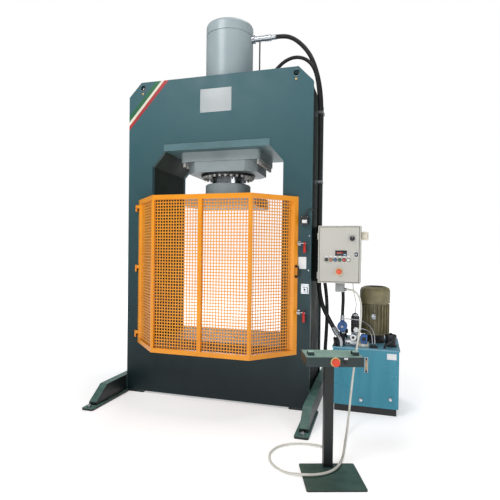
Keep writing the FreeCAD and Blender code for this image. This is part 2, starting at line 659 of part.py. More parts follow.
def cabinet_controls():
    face = -S.cab_front - S.bezel_rise
    selector("selector_switch", S.button_radius, row_x(0), face - 15, S.row_z, S.button_radius - 0.2, 20)
    push_button("reset_button", 2)
    push_button("start_button", 3)
    push_button("stop_button", 4)
    signal_lamps()
    selector("main_switch", S.knob_radius, S.knob_x, face - 15, S.knob_z, as_size(7), 30)
    mushroom("cabinet_stop", S.stop_radius, S.stop_x, face - 24, S.stop_z, as_size(9), 40)
    key = box("lock_key", (S.lock_x - 3, S.lock_x + 3), (face - 9, face - 1), (S.lock_z - 11, S.lock_z + 11))
    barrel = cylinder("lock_barrel", 8, S.lock_x, face - 1, S.lock_z, 22, "y")
    tongue = box("lock_tongue", (S.lock_x - 7, S.lock_x + 7), (face + 21, face + 24), (S.lock_z - 20, S.lock_z + 7))
    keep(fuse("door_lock", key, barrel, tongue))


def small_boxes():
    """Socket on the cabinet's right side, and the junction box under it with the conduit's gland."""
    plug = box("socket_block", (S.cab_right, S.socket_right), (-S.socket_front, -S.socket_back),
               (S.socket_low, S.socket_high))
    keep(trim_edges("socket_box", "Part::Fillet", plug, as_size(5), upright))
    case = box("junction_block", (S.box_left, S.box_right), (-S.box_front, -S.box_back),
               (S.box_low, S.cab_low))
    gland = cylinder("conduit_gland", S.gland_out, S.box_right, -S.conduit_y, S.conduit_z, S.gland_out, "x")
    keep(fuse("junction_box", trim_edges("junction_round", "Part::Fillet", case, as_size(5), upright), gland))


# ---------------------------------------------------------------- the power unit


def oil_tank():
    """Welded tank on a low skirt, open at the top."""
    wall = S.tank_wall
    skirt = box("skirt", (S.tank_left + S.skirt_in, S.tank_right - S.skirt_in),
                (S.skirt_back - S.tank_front, S.tank_back - S.skirt_back),
                (0, S.tank_base))
    inset, end = S.skirt_in + S.skirt_wide, S.skirt_back + S.skirt_wide
    hollow = box("skirt_hollow", (S.tank_left + inset, S.tank_right - inset), (end - S.tank_front, S.tank_back - end),
                 (-1, S.tank_base - 6))
    outer = box("tank_outer", (S.tank_left, S.tank_right), (-S.tank_front, S.tank_back), (S.tank_base, S.tank_top))
    inner = box("tank_inner", (S.tank_left + wall, S.tank_right - wall),
                (wall - S.tank_front, S.tank_back - wall), (S.tank_base + wall, S.tank_top + 1))
    return keep(cut("oil_tank", fuse("tank_whole", outer, skirt), inner, hollow))


def tank_lid():
    over = S.lid_over
    plate = box("lid_plate", (S.tank_left - over, S.tank_right + over), (-S.tank_front - over, S.tank_back + over),
                (S.tank_top, S.tank_top + S.lid))
    hole = cylinder("lid_hole", 62, S.motor_x, S.motor_y, S.tank_top - 1, 40)
    return keep(cut("tank_lid", plate, hole))


def level_gauge():
    left = S.gauge_x - S.gauge_wide / 2
    right = S.gauge_x + S.gauge_wide / 2
    front = -S.tank_front
    back = box("gauge_back", (left, right), (front - 8, front), (S.gauge_low, S.gauge_high))
    tube_guard = box("gauge_glass", (left + 8, right - 8), (front - 18, front - 8),
                     (S.gauge_low + 24, S.gauge_high - 24))
    return keep(fuse("level_gauge", back, tube_guard))


def motor():
    """Flange-mounted motor: finned body with its end shield, cowl, and the rotor that carries the fan."""
    lid_top = S.tank_top + S.lid
    x, y = S.motor_x, S.motor_y
    hole = S.shaft_radius + S.slide_fit
    bell = [(50, lid_top), (S.bell_radius, lid_top), (S.bell_radius, lid_top + 12), (S.bell_radius - 16, lid_top + 18),
            (S.bell_radius - 16, S.bell_top - 14), (S.bell_radius, S.bell_top - 12), (S.bell_radius, S.bell_top),
            (50, S.bell_top)]
    keep(turned("bellhousing", bell, x, y))
    low, high = S.bell_top, S.stator_top
    bore = S.core_radius + S.air_gap
    body = [(hole, low), (S.fin_out, low), (S.fin_out, low + 14), (S.motor_radius, low + 18),
            (S.motor_radius, high), (hole, high), (hole, high - 24), (bore, high - 24), (bore, low + 24),
            (hole, low + 24)]
    core = turned("motor_core", body, x, y)
    fins = []
    for i in range(int(S.fin_count.value)):
        fin = doc.addObject("Part::Box", "cooling_fin")
        angle = 360.0 / S.fin_count.value * i
        bind(fin, "Length", S.fin_out - S.motor_radius + 4)
        bind(fin, "Width", S.fin)
        bind(fin, "Height", high - low - 30)
        fin.Placement = FreeCAD.Placement(V(0, 0, 0), FreeCAD.Rotation(UP, angle))
        reach = S.motor_radius - 4
        cos, sin = math.cos(math.radians(angle)), math.sin(math.radians(angle))
        bind(fin, "Placement.Base.x", x + reach * cos + S.fin / 2 * sin)
        bind(fin, "Placement.Base.y", y + reach * sin - S.fin / 2 * cos)
        bind(fin, "Placement.Base.z", low + 16)
        fins.append(fin)
    keep(fuse("motor_body", core, *fins))
    out, top = S.cowl_radius, S.cowl_top
    shell = [(out, high), (out, top - 42), (out - 12, top - 16), (out - 44, top), (0, top), (0, top - 3),
             (out - 46, top - 3), (out - 15, top - 19), (out - 3, top - 43), (out - 3, high)]
    keep(turned("motor_cowl", shell, x, y))
    shaft, core_r, fan = S.shaft_radius, S.core_radius, S.fan_radius
    rotor = [(0, S.tank_top - 70), (shaft, S.tank_top - 70), (shaft, low + 30), (core_r, low + 30), (core_r, high - 30),
             (shaft, high - 30), (shaft, high + 30), (fan, high + 30), (fan, high + 36), (40, high + 40),
             (40, high + 86), (0, high + 86)]
    keep(turned("motor_rotor", rotor, x, y))


def pump():
    """Gear pump that hangs from the lid under the motor, with its suction pipe."""
    x, y = S.motor_x, S.motor_y
    top = S.tank_top
    hanger = turned("pump_hanger", [(48, top), (100, top), (100, top - 10), (60, top - 14), (60, top - S.pump_hang),
                                    (48, top - S.pump_hang)], x, y)
    body = box("pump_block", (x - S.pump_half, x + S.pump_half), (y - S.pump_deep, y + S.pump_deep),
               (top - S.pump_low, top - S.pump_hang))
    foot = S.tank_base + 50
    suction = cylinder("suction", 24, x + S.pipe_x, y, foot, top - S.pump_low - foot)
    strainer = cylinder("strainer", 44, x + S.pipe_x, y, foot - 20, 90)
    return keep(fuse("pump", hanger, body, suction, strainer))


def valve_group():
    """Manifold blocks on the lid with the valves, the round valve, the gauge and the hose fittings."""
    base = S.tank_top + S.lid
    y = -S.valve_y
    left = box("left_block", (1318, S.block_mid), (y - 50, y + 70), (base, base + S.block_high))
    right = box("right_block", (1452, 1546), (y - 60, y + 60), (base, base + S.plinth_high))
    tower = box("tower", (1376, S.block_mid), (y - 10, y + 60), (base + S.block_high, base + S.tower_high))
    keep(group("valve_manifold", fuse("left_manifold", left, tower), right))
    low_coil = cylinder("low_coil", S.low_coil, S.low_coil_x, y - 92, base + 94, 81.5, "y")
    wide_coil = cylinder("wide_coil", S.wide_coil, S.wide_coil_x, y - 40, base + S.plinth_high, S.wide_coil_high)
    black_coil = cylinder("black_coil", S.coil_radius, S.coil_x, y + 25, base + S.tower_high,
                          S.coil_top - base - S.tower_high)
    keep(group("solenoid_valves", low_coil, wide_coil, black_coil))
    x, z = S.round_x, S.round_z
    ring = cylinder("round_case", S.round_radius, x, y - 45, z, 70, "y")
    neck = cylinder("round_neck", 22, x, y - 10, base, z - base - 10)
    port = cylinder("round_port", 20, x, y - 10, z + 10, 56)
    keep(fuse("round_valve", ring, neck, port))
    dial = cylinder("dial_case", S.dial_radius, S.dial_x, y - 90, S.dial_z, 26, "y")
    stem = cylinder("dial_stem", 6, S.dial_x, y - 64, S.dial_z, 48, "y")
    keep(fuse("pressure_gauge", dial, stem))


# ---------------------------------------------------------------- the two-hand console


def console_place(thing):
    """Turns a console piece to face the operator and sets it on its spot."""
    thing.Placement = FreeCAD.Placement(V(0, 0, 0), FreeCAD.Rotation(UP, S.stand_turn.value))
    bind(thing, "Placement.Base.x", S.stand_x)
    bind(thing, "Placement.Base.y", S.stand_y)
    return thing


def console_stand():
    """Floor plate and box column."""
    wide, deep = S.base_wide / 2, S.base_deep / 2
    plate = box("stand_plate", (-wide, wide), (-deep, deep), (0, S.base_high))
    rounded = trim_edges("stand_round", "Part::Fillet", plate, as_size(12), upright)
    back = S.post_back
    post = box("stand_post", (-S.post_wide / 2, S.post_wide / 2), (back - S.post_deep / 2, back + S.post_deep / 2),
               (S.base_high, S.console_low))
    gland = cylinder("stand_gland", 15, 0, back + S.post_deep / 2, 60, 16, "y")
    return console_place(keep(fuse("console_stand", rounded, post, gland)))


def hood(side):
    """Half-round cover over a palm button, open towards its own end of the console."""
    top = S.console_high
    x = S.console_shift + side * S.palm_x
    y = S.palm_y
    inner = S.palm_radius + S.hood_gap
    outer = inner + S.hood
    reach = S.hood_long / 2
    shell = cylinder("hood_outer", outer, x - reach, y, top, S.hood_long, "x")
    hollow = cylinder("hood_inner", inner, x - reach - 1, y, top, S.hood_long + 2, "x")
    below = box("hood_below", (x - reach - 1, x + reach + 1), (y - outer - 1, y + outer + 1), (top - outer - 1, top))
    return cut("hood", shell, hollow, below)


def console_box():
    """Control box, wider at its back edge, with two hooded palm buttons on its top."""
    low, high = S.console_low, S.console_high
    front = S.post_back - S.console_deep / 2
    back = S.post_back + S.console_deep / 2
    near, far, mid = S.console_wide / 2, S.console_top_wide / 2, S.console_shift
    outline = [(mid - near, front), (mid + near, front), (mid + far, back), (mid - far, back)]
    skin = pad("console_outer", "XY_Plane", outline, low, high)
    wall = 3
    inner = [(mid + wall - near, front + wall), (mid + near - wall, front + wall),
             (mid + far - wall, back - wall), (mid + wall - far, back - wall)]
    room = pad("console_inner", "XY_Plane", inner, low + wall, high - wall)
    holes = [cylinder("palm_hole", 10.4, mid + side * S.palm_x, S.palm_y, high - 10, 20) for side in (-1, 1)]
    z = (low + high) / 2
    holes.append(cylinder("stop_hole", 9.4, S.console_stop_x, front - 5, z, 20, "y"))
    holes.append(cylinder("turn_hole", 8.1, S.console_turn_x, front - 5, z, 20, "y"))
    body = fuse("console_whole", cut("console_shell", skin, room), hood(-1), hood(1))
    return console_place(keep(cut("console_box", body, *holes)))


def palm_button(name, side):
    """Palm button that is pressed down."""
    x, y, top = S.console_shift + side * S.palm_x, S.palm_y, S.console_high
    head = cylinder(name + "_head", S.palm_radius, x, y, top + S.palm_travel + 2, 12)
    dome = trim_edges(name + "_dome", "Part::Fillet", head, as_size(5), lambda edge: edge.Closed and
                      edge.CenterOfMass.z > top.value + 12)
    stem = cylinder(name + "_stem", 10, x, y, top - 24, 24 + S.palm_travel + 2)
    return console_place(keep(fuse(name, dome, stem)))


def console_controls():
    face = S.post_back - S.console_deep / 2
    z = (S.console_low + S.console_high) / 2
    console_place(mushroom("console_stop", as_size(28), S.console_stop_x, face - 26, z, as_size(9), 36))
    console_place(selector("console_selector", as_size(17), S.console_turn_x, face - 15, z, as_size(8), 22))


# ---------------------------------------------------------------- hoses and cables


def tube(route, diameter):
    """A round tube along straight runs joined by tangent arcs, each as large as its two runs allow."""
    edges, start = [], route[0]
    for before, corner, after in zip(route, route[1:], route[2:]):
        into, away = corner - before, after - corner
        turn = into.getAngle(away)
        reach = 0.45 * min(into.Length, away.Length)
        arc_in = corner - into.normalize() * reach
        arc_out = corner + away.normalize() * reach
        inward = (arc_in + arc_out) * 0.5 - corner
        radius = reach / math.tan(turn / 2)
        depth = radius / math.cos(turn / 2) - radius
        middle = corner + inward.normalize() * depth
        edges.append(Part.LineSegment(start, arc_in).toShape())
        edges.append(Part.Arc(arc_in, middle, arc_out).toShape())
        start = arc_out
    edges.append(Part.LineSegment(start, route[-1]).toShape())
    path = Part.Wire(edges)
    section = Part.Wire(Part.Circle(route[0], route[1] - route[0], diameter / 2).toShape())
    swept = path.makePipeShell([section], True, False)
    whole = Part.Solid(Part.Shell(swept.Faces)) if swept.ShapeType != "Solid" else swept
    expected = math.pi * diameter ** 2 / 4 * path.Length
    if abs(whole.Volume - expected) > 0.02 * expected:
        raise ValueError("a tube's volume is off: %.0f for %.0f" % (whole.Volume, expected))
    return whole


def cord(name, diameter, points):
    """A free hose or cable as one plain tube. Prints its length and its bends."""
    route = [V(*point) for point in points]
    radii = []
    for before, corner, after in zip(route, route[1:], route[2:]):
        into, away = corner - before, after - corner
        radii.append(0.45 * min(into.Length, away.Length) / math.tan(into.getAngle(away) / 2))
    thing = doc.addObject("Part::Feature", name)
    thing.Shape = tube(route, diameter.value)
    length = thing.Shape.Volume / (math.pi * diameter.value ** 2 / 4)
    print("%s length %.0f radii in diameters %s" % (name, length, [round(r / diameter.value, 1) for r in radii]))
    return keep(thing)


MAIN_HOSE = [(470, 0, 3862), (596, -2, 3866), (712, -14, 3826), (826, -40, 3722), (930, -70, 3570),
             (1008, -96, 3330), (1042, -113, 3080), (1040, -119, 2740), (1036, -120, 2250), (1036, -121, 1760),
             (1032, -134, 1330), (1064, -180, 1060), (1148, -232, 892), (1246, -268, 744)]
RETURN_HOSE = [(500, -100, 3410), (575, -106, 3485), (665, -116, 3548), (770, -132, 3566), (874, -148, 3530),
               (958, -162, 3444), (1006, -172, 3300), (1030, -180, 3080), (1041, -182, 2720), (1042, -182, 2250),
               (1040, -181, 1930), (1052, -170, 1640), (1088, -164, 1360), (1126, -158, 1110), (1134, -152, 920),
               (1126, -150, 700), (1117, -150, 550), (1126, -150, 455), (1128, -150, 372)]
PILOT_HOSE = [(1000, -60, 1500), (1060, -68, 1496), (1150, -96, 1462), (1236, -140, 1376), (1284, -180, 1246),
              (1296, -199, 1080), (1290, -200, 968), (1290, -200, 878)]
CONSOLE_CONDUIT = [(1330, -330, 1188), (1374, -331, 1188), (1416, -338, 1171), (1448, -348, 1136),
                   (1467, -360, 1086), (1475, -375, 1018), (1475, -400, 925), (1465, -430, 815), (1450, -462, 706),
                   (1435, -496, 592), (1422, -536, 470), (1411, -580, 350), (1401, -634, 228), (1394, -712, 112),
                   (1388, -820, 30), (1386, -950, 12), (1388, -1090, 13), (1390, -1222, 15), (1390, -1328, 25),
                   (1380, -1430, 25), (1350, -1530, 25), (1292, -1604, 25), (1212, -1650, 25), (1120, -1668, 23),
                   (1030, -1655, 11), (940, -1600, 11), (876, -1515, 11), (851, -1410, 11), (868, -1305, 11),
                   (930, -1222, 11), (1022, -1172, 11), (1114, -1156, 12), (1176, -1166, 16), (1222, -1202, 28),
                   (1246, -1262, 46), (1254, -1336, 59), (1276.8, -1418.8, 60)]
VALVE_CABLE = [(1392, -300, 1252), (1393, -300, 1208), (1402, -288, 1152), (1416, -262, 1088), (1424, -224, 1028),
               (1414, -178, 984), (1411, -165, 944)]


def bent_pipe(name, diameter, *points):
    """A short rigid pipe with one or two bends."""
    pipe = doc.addObject("Part::Feature", name)
    pipe.Shape = tube([V(*point) for point in points], diameter)
    return pipe


def hose_clamp(low, main, back):
    """A plate from the upright's wall, bored for the two hoses that it holds apart."""
    plate = box("clamp_plate", (S.frame_half - S.web_inset, main[0] + 30), (back[1] - 26, main[1] + 30),
                (low, low + S.clamp_high))
    bores = [cylinder("clamp_bore", diameter / 2 + S.clamp_slack, x, y, low - 1, S.clamp_high + 2)
             for diameter, (x, y) in ((S.main_dia, main), (S.return_dia, back))]
    return cut("clamp", plate, *bores)


def hose_fittings():
    """Bright fittings: the cylinder's port, the riser on the crosshead, the bulkhead, the clamps on the upright,
    the slanted end of the main hose and the return bend on the tank."""
    start = S.barrel_radius
    port = fuse("port_parts", cylinder("port_flange", 46, start - 2, 0, 3862, 30, "x"),
                cylinder("port_body", 31, start + 28, 0, 3862, 120, "x"),
                cylinder("port_nut", 35, start + 148, 0, 3862, 62, "x"))
    seat = cylinder("port_seat", S.barrel_radius, 0, 0, 3800, 124)
    port = cut("port_fitting", port, seat)
    riser = fuse("riser", cylinder("riser_nut", 28, 462, -97, S.frame_top, 24),
                 bent_pipe("riser_bend", 34, (462, -97, 3345), (462, -97, 3372), (500, -100, 3410)))
    bulkhead = cylinder("bulkhead", 24, S.frame_half - S.web_inset, -60, 1500, 15, "x")
    upper = hose_clamp(2940, (1041.3, -115.2), (1033.9, -180.7))
    lower = hose_clamp(2240, (1036, -120), (1042, -182))
    slanted = bent_pipe("slanted_end", 40, (1246, -268, 744), (1278, -278, 700), (1288, -279, 668),
                        (1288, -279, 626))
    back = bent_pipe("return_bend", 36, (1128, -150, 372), (1128, -150, 300), (1210, -150, 300))
    return keep(group("hose_fittings", port, riser, bulkhead, upper, lower, slanted, back))


# ---------------------------------------------------------------- build, test and write


side_plate("front_plate", -S.frame_y, S.plate - S.frame_y)
side_plate("rear_plate", S.frame_y - S.plate, S.frame_y)
column_webs()
crosshead_plates()
bed_plates()
feet()
cylinder_barrel()
cylinder_flange()
cylinder_head()
gland_ring()
cylinder_bolts()
ram_rod()
ram_flange()
platen()
front_guard()
guard_hinges()
guard_handle()
guard_catches()
for label, z in LATCHES:
    latch_grip(label, z)
guard_switch()
cabinet_shell()
cabinet_door()
cabinet_controls()
small_boxes()
oil_tank()
tank_lid()
level_gauge()
motor()
pump()
valve_group()
console_stand()
console_box()
palm_button("left_palm_button", -1)
palm_button("right_palm_button", 1)
console_controls()
hose_fittings()
cord("main_hose", S.main_dia, MAIN_HOSE)
cord("return_hose", S.return_dia, RETURN_HOSE)
cord("pilot_hose", S.pilot_dia, PILOT_HOSE)
cord("console_conduit", S.conduit_dia, CONSOLE_CONDUIT)
cord("valve_cable", S.wire_dia, VALVE_CABLE)

doc.recompute()
for thing in doc.Objects:
    if "Invalid" in thing.State or "Error" in thing.State:
        raise ValueError("%s is in state %s" % (thing.Name, thing.State))
for thing in SUBPARTS:
    if thing.Shape.isNull() or not thing.Shape.isValid() or thing.Shape.Volume <= 0:
        raise ValueError("%s has no valid solid" % thing.Label)

os.makedirs("parts", exist_ok=True)
for thing in SUBPARTS:
    thing.Shape.exportStep(os.path.join("parts", thing.Label + ".step"))
print("wrote %d sub-parts" % len(SUBPARTS))
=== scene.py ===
# The finished look of a hydraulic press: coated and detailed pieces round its fixed frame. Metres, Z up.

import math

import bmesh
import bpy
from mathutils import Matrix, Vector


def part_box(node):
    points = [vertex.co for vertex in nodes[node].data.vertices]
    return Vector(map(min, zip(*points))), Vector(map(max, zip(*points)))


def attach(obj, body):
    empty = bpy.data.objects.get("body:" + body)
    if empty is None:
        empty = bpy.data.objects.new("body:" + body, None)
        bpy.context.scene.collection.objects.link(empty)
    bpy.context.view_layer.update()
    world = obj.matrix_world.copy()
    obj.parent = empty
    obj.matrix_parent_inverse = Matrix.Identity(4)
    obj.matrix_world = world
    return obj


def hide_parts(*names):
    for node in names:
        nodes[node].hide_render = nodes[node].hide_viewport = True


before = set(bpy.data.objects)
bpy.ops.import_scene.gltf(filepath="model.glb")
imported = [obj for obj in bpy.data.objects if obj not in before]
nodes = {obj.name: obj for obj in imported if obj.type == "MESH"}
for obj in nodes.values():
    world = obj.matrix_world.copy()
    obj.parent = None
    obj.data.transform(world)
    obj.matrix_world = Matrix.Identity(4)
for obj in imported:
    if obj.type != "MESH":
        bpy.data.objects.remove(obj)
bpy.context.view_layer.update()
scene = bpy.context.scene


# ---------------------------------------------------------------- finishes


def rgb(red, green, blue):
    """A colour from its usual 0 to 255 values."""
    shares = [c / 255 for c in (red, green, blue)]
    return (*[c / 12.92 if c <= 0.04045 else ((c + 0.055) / 1.055) ** 2.4 for c in shares], 1)


class Finish:
    """A material that is built up node by node on the piece's own coordinates."""

    def __init__(self, name, rough=0.5, metal=0.0, **sockets):
        self.material = bpy.data.materials.new(name)
        self.material.use_nodes = True
        self.tree = self.material.node_tree
        self.shader = self.tree.nodes["Principled BSDF"]
        self.shader.inputs["Roughness"].default_value = rough
        self.shader.inputs["Metallic"].default_value = metal
        for key, value in sockets.items():
            self.shader.inputs[key.replace("_", " ")].default_value = value
        self.place = self.add("TexCoord").outputs["Object"]

    def add(self, kind, inputs=None, **settings):
        """A new shader node with its inputs fed and its settings made."""
        made = self.tree.nodes.new("ShaderNode" + kind)
        for name, value in settings.items():
            setattr(made, name, value)
        for name, value in (inputs or {}).items():
            self.feed(made.inputs[name], value)
        return made

    def feed(self, socket, value):
        """Links a socket to another node's output, or sets it to a value."""
        if isinstance(value, bpy.types.NodeSocket):
            self.tree.links.new(value, socket)
        else:
            socket.default_value = value

    def noise(self, scale, detail, stretch=None):
        """Cloudy noise over the piece, stretched where it runs in streaks."""
        place = self.place
        if stretch:
            place = self.add("Mapping", {"Vector": place, "Scale": stretch}).outputs["Vector"]
        return self.add("TexNoise", {"Vector": place, "Scale": scale, "Detail": detail}).outputs["Fac"]

    def axis(self, name, place=None):
        return self.add("SeparateXYZ", {"Vector": place or self.place}).outputs[name]

    def maths(self, operation, *values):
        return self.add("Math", dict(enumerate(values)), operation=operation).outputs[0]

    def spread(self, value, low, high, to_low=0.0, to_high=1.0):
        """Takes a value from one range to another, held at its ends."""
        return self.add("MapRange", {"Value": value, "From Min": low, "From Max": high, "To Min": to_low,
                                     "To Max": to_high}).outputs["Result"]

    def mix(self, share, first, second):
        """One colour at a share of 0 and the other at 1."""
        made = self.add("Mix", data_type="RGBA")
        for name, value in (("Factor_Float", share), ("A_Color", first), ("B_Color", second)):
            socket = [s for s in made.inputs if s.identifier == name][0]
            self.feed(socket, value)
        return [s for s in made.outputs if s.identifier == "Result_Color"][0]

    def use(self, **links):
        """Feeds the shader's own sockets."""
        for key, value in links.items():
            self.feed(self.shader.inputs[key.replace("_", " ")], value)
        return self

    def relief(self, height, strength):
        """Grain under a millimetre high, too fine to be modelled."""
        bump = self.add("Bump", {"Height": height, "Strength": strength, "Distance": 0.001})
        self.feed(self.shader.inputs["Normal"], bump.outputs["Normal"])
        return self

    def edges(self, reach=0.004):
        """Close to 1 along the edges of the piece, where a coat wears thin."""
        soft = self.add("Bevel", {"Radius": reach}, samples=4).outputs["Normal"]
        sharp = self.add("NewGeometry").outputs["Normal"]
        facing = self.add("VectorMath", {0: soft, 1: sharp}, operation="DOT_PRODUCT").outputs["Value"]
        return self.spread(facing, 0.99, 0.8)


def coat(name, colour, cloudy, rough=0.4, worn=None, patch=2.5, grain=160, relief=0.08, metal=0.0):
    """Paint, plastic or metal: a slightly cloudy colour, fine grain, and lighter wear along the edges."""
    finish = Finish(name, rough, metal)
    tint = finish.mix(finish.spread(finish.noise(patch, 5), 0.35, 0.68), colour, cloudy)
    if worn:
        scuffs = finish.spread(finish.noise(26, 6), 0.42, 0.62)
        tint = finish.mix(finish.maths("MULTIPLY", finish.edges(), scuffs), tint, worn)
    fine = finish.noise(grain, 2)
    finish.use(Base_Color=tint, Roughness=finish.spread(fine, 0.3, 0.7, rough - 0.06, rough + 0.08))
    return finish.relief(fine, relief).material


def plastic(name, colour, cloudy, rough=0.3, worn=None):
    """A moulded piece, with finer grain and smaller clouds than paint."""
    return coat(name, colour, cloudy, rough, worn, patch=12, grain=500)


def shaded_frame_finish(name, top, low, worn, rough, shine):
    """Green-grey machine paint that darkens towards the floor: painted shade, for the lower parts that get
    less of the light from above.
    """
    finish = Finish(name, rough, Specular_IOR_Level=shine)
    # Painted shade: the colour runs from the dark low tint at the floor up to the top tint.
    height = finish.maths("ADD", finish.axis("Z"), finish.maths("MULTIPLY", finish.noise(1.6, 4), 0.3))
    tint = finish.mix(finish.spread(height, 0.4, 3.1), low, top)
    scuffs = finish.spread(finish.noise(18, 6), 0.45, 0.64)
    tint = finish.mix(finish.maths("MULTIPLY", finish.edges(0.006), scuffs), tint, worn)
    dull = finish.spread(finish.noise(5, 5), 0.3, 0.7, rough - 0.08, rough + 0.1)
    finish.use(Base_Color=tint, Roughness=dull)
    return finish.relief(finish.noise(120, 3), 0.12).material


FRAME = shaded_frame_finish("frame_coat", rgb(52, 90, 97), rgb(8, 28, 32), rgb(110, 138, 142), 0.42, 0.32)
# The inner webs get a darker, olive copy of the frame paint: painted shade with a painted backlight tint,
# also darker towards the floor.
SHADED_WALL = shaded_frame_finish("shaded_wall_coat", rgb(38, 48, 42), rgb(14, 20, 18), rgb(70, 84, 78), 0.62, 0.15)
CYLINDER = coat("cylinder_coat", rgb(158, 171, 174), rgb(142, 156, 160), 0.32, rgb(196, 202, 204), grain=90)
HEAD = coat("head_coat", rgb(148, 160, 163), rgb(130, 143, 146), 0.4, rgb(204, 212, 214), grain=90)
# A lighter copy of the frame paint on the crosshead bar: painted light, where the protruding bar catches the
# light.
LIT_BAR_COAT = coat("lit_bar_coat", rgb(84, 120, 126), rgb(66, 98, 104), 0.4, rgb(150, 176, 180))
SILVER = coat("silver_plate", rgb(176, 182, 184), rgb(164, 170, 172), grain=300)
DARK = coat("dark_steel", rgb(48, 50, 53), rgb(34, 35, 38), 0.42, rgb(110, 112, 114), metal=0.6)
STEEL = coat("zinc_steel", rgb(176, 180, 184), rgb(150, 154, 158), 0.3, metal=1.0, patch=20)
BRASS = coat("brass", rgb(178, 158, 116), rgb(148, 128, 88), 0.45, metal=0.6, patch=20)
GUARD = coat("guard_coat", rgb(234, 150, 12), rgb(224, 138, 8), 0.36, rgb(226, 168, 92), grain=220)
BLACK = plastic("black_plastic", rgb(24, 24, 26), rgb(32, 32, 34), 0.4, rgb(70, 70, 72))
RED = plastic("red_plastic", rgb(186, 30, 26), rgb(170, 22, 20), 0.3, rgb(214, 80, 70))
STOP_RED = plastic("stop_plastic", rgb(214, 68, 34), rgb(196, 52, 26))
BLUE = plastic("blue_plastic", rgb(52, 104, 150), rgb(40, 88, 136))
GREEN = plastic("green_plastic", rgb(22, 96, 64), rgb(16, 80, 54))
CABINET = coat("cabinet_coat", rgb(190, 189, 180), rgb(182, 181, 174), 0.45, rgb(210, 208, 202), grain=420,
               relief=0.2)
# Dark rubber for the socket lid's seal, also used as painted shade in the gap round the cabinet door.
RUBBER_AND_GAP_SHADE = coat("rubber_and_painted_gap_shade", rgb(84, 84, 82), rgb(64, 64, 64), 0.7, grain=300)
GREY = coat("grey_plastic", rgb(150, 152, 152), rgb(136, 139, 140), 0.5, rgb(176, 176, 174), grain=420)
IVORY = coat("ivory_plastic", rgb(214, 208, 192), rgb(200, 194, 178), 0.45, grain=420)
WHITE = coat("white_label", rgb(224, 226, 226), rgb(212, 214, 216), grain=300)
YELLOW = coat("cream_ring", rgb(232, 214, 150), rgb(226, 204, 132), grain=300)
LID = coat("lid_coat", rgb(104, 160, 180), rgb(84, 140, 164), 0.34, rgb(170, 190, 196))
MOTOR = coat("motor_coat", rgb(132, 124, 90), rgb(100, 94, 66), 0.45, rgb(176, 170, 150), patch=9)
CAST = coat("cast_black", rgb(40, 38, 37), rgb(58, 54, 50), 0.6, rgb(90, 86, 80), grain=90, relief=0.4)
BLOCK = coat("block_coat", rgb(196, 190, 174), rgb(176, 168, 150), 0.45, rgb(214, 210, 196), patch=12)
VALVE = coat("valve_coat", rgb(46, 98, 158), rgb(34, 78, 136), 0.35, rgb(130, 160, 190), patch=12)
SKY = coat("pale_blue_label", rgb(150, 190, 220), rgb(136, 178, 210), grain=300)
BAND_GREEN = coat("band_green", rgb(6, 96, 56), rgb(5, 84, 48), grain=200)
BAND_RED = coat("band_red", rgb(164, 30, 34), rgb(148, 24, 28), grain=200)
WELD = coat("weld_paint", rgb(60, 90, 94), rgb(34, 54, 56), 0.36, grain=200, patch=1.5)
AMBER = coat("oil_glass", rgb(190, 150, 70), rgb(214, 196, 150), 0.15, grain=30, patch=30, relief=0.0)
DIGIT = coat("lit_digit", rgb(226, 60, 46), rgb(240, 84, 60), 0.3, grain=200, relief=0.0)
PALE = coat("pale_plate", rgb(182, 182, 178), rgb(172, 172, 170), 0.45, grain=300)
GLASS = coat("display_glass", rgb(70, 18, 20), rgb(28, 12, 16), 0.12, grain=30, patch=22, relief=0.0)


def top_lit_finish(name, dark, darker, pale, paler):
    """Dark paint with a painted highlight: lighter on the faces that point up, where the light from above
    falls.
    """
    finish = Finish(name, 0.42)
    # Painted highlight: faces that point up are turned to the pale tints, as if lit from above.
    up = finish.axis("Z", finish.add("NewGeometry").outputs["Normal"])
    dark = finish.mix(finish.spread(finish.noise(4, 4), 0.35, 0.68), dark, darker)
    pale = finish.mix(finish.spread(finish.noise(9, 5), 0.35, 0.68), pale, paler)
    finish.use(Base_Color=finish.mix(finish.spread(up, 0.6, 0.9), dark, pale))
    return finish.relief(finish.noise(300, 2), 0.08).material


def chrome_finish():
    """Ground and chromed rod with faint lines round it."""
    finish = Finish("ground_chrome", 0.16, 1.0)
    lines = finish.noise(40, 3, (0.02, 0.02, 9.0))
    tint = finish.mix(finish.spread(lines, 0.3, 0.7), rgb(196, 200, 204), rgb(168, 174, 180))
    finish.use(Base_Color=tint, Roughness=finish.spread(lines, 0.3, 0.7, 0.12, 0.26))
    return finish.relief(lines, 0.03).material


def tank_finish(shadow_band_top):
    """Blue tank paint with faint runs down the walls, and a black band at the foot: painted shadow for the
    shade between the tank and the floor.
    """
    finish = Finish("tank_coat", 0.3)
    runs = finish.noise(3.2, 4, (5.0, 5.0, 0.6))
    blue = finish.mix(finish.spread(runs, 0.3, 0.7), rgb(38, 124, 146), rgb(54, 136, 158))
    # Painted shadow: black below the band's top.
    in_shadow_band = finish.maths("LESS_THAN", finish.axis("Z"), shadow_band_top - 0.0005)
    finish.use(Base_Color=finish.mix(in_shadow_band, blue, rgb(20, 20, 22)),
               Roughness=finish.spread(finish.noise(8, 3), 0.3, 0.7, 0.26, 0.36))
    return finish.relief(finish.noise(90, 2), 0.03).material


def lamp_finish(split):
    """Lamp lenses, amber up to a place along the row and clear past it."""
    finish = Finish("lamp_lens", 0.2, Transmission_Weight=0.25)
    past = finish.maths("GREATER_THAN", finish.axis("X"), split)
    ridges = finish.noise(300, 2)
    finish.use(Base_Color=finish.mix(past, rgb(176, 104, 40), rgb(226, 226, 214)))
    return finish.relief(ridges, 0.15).material


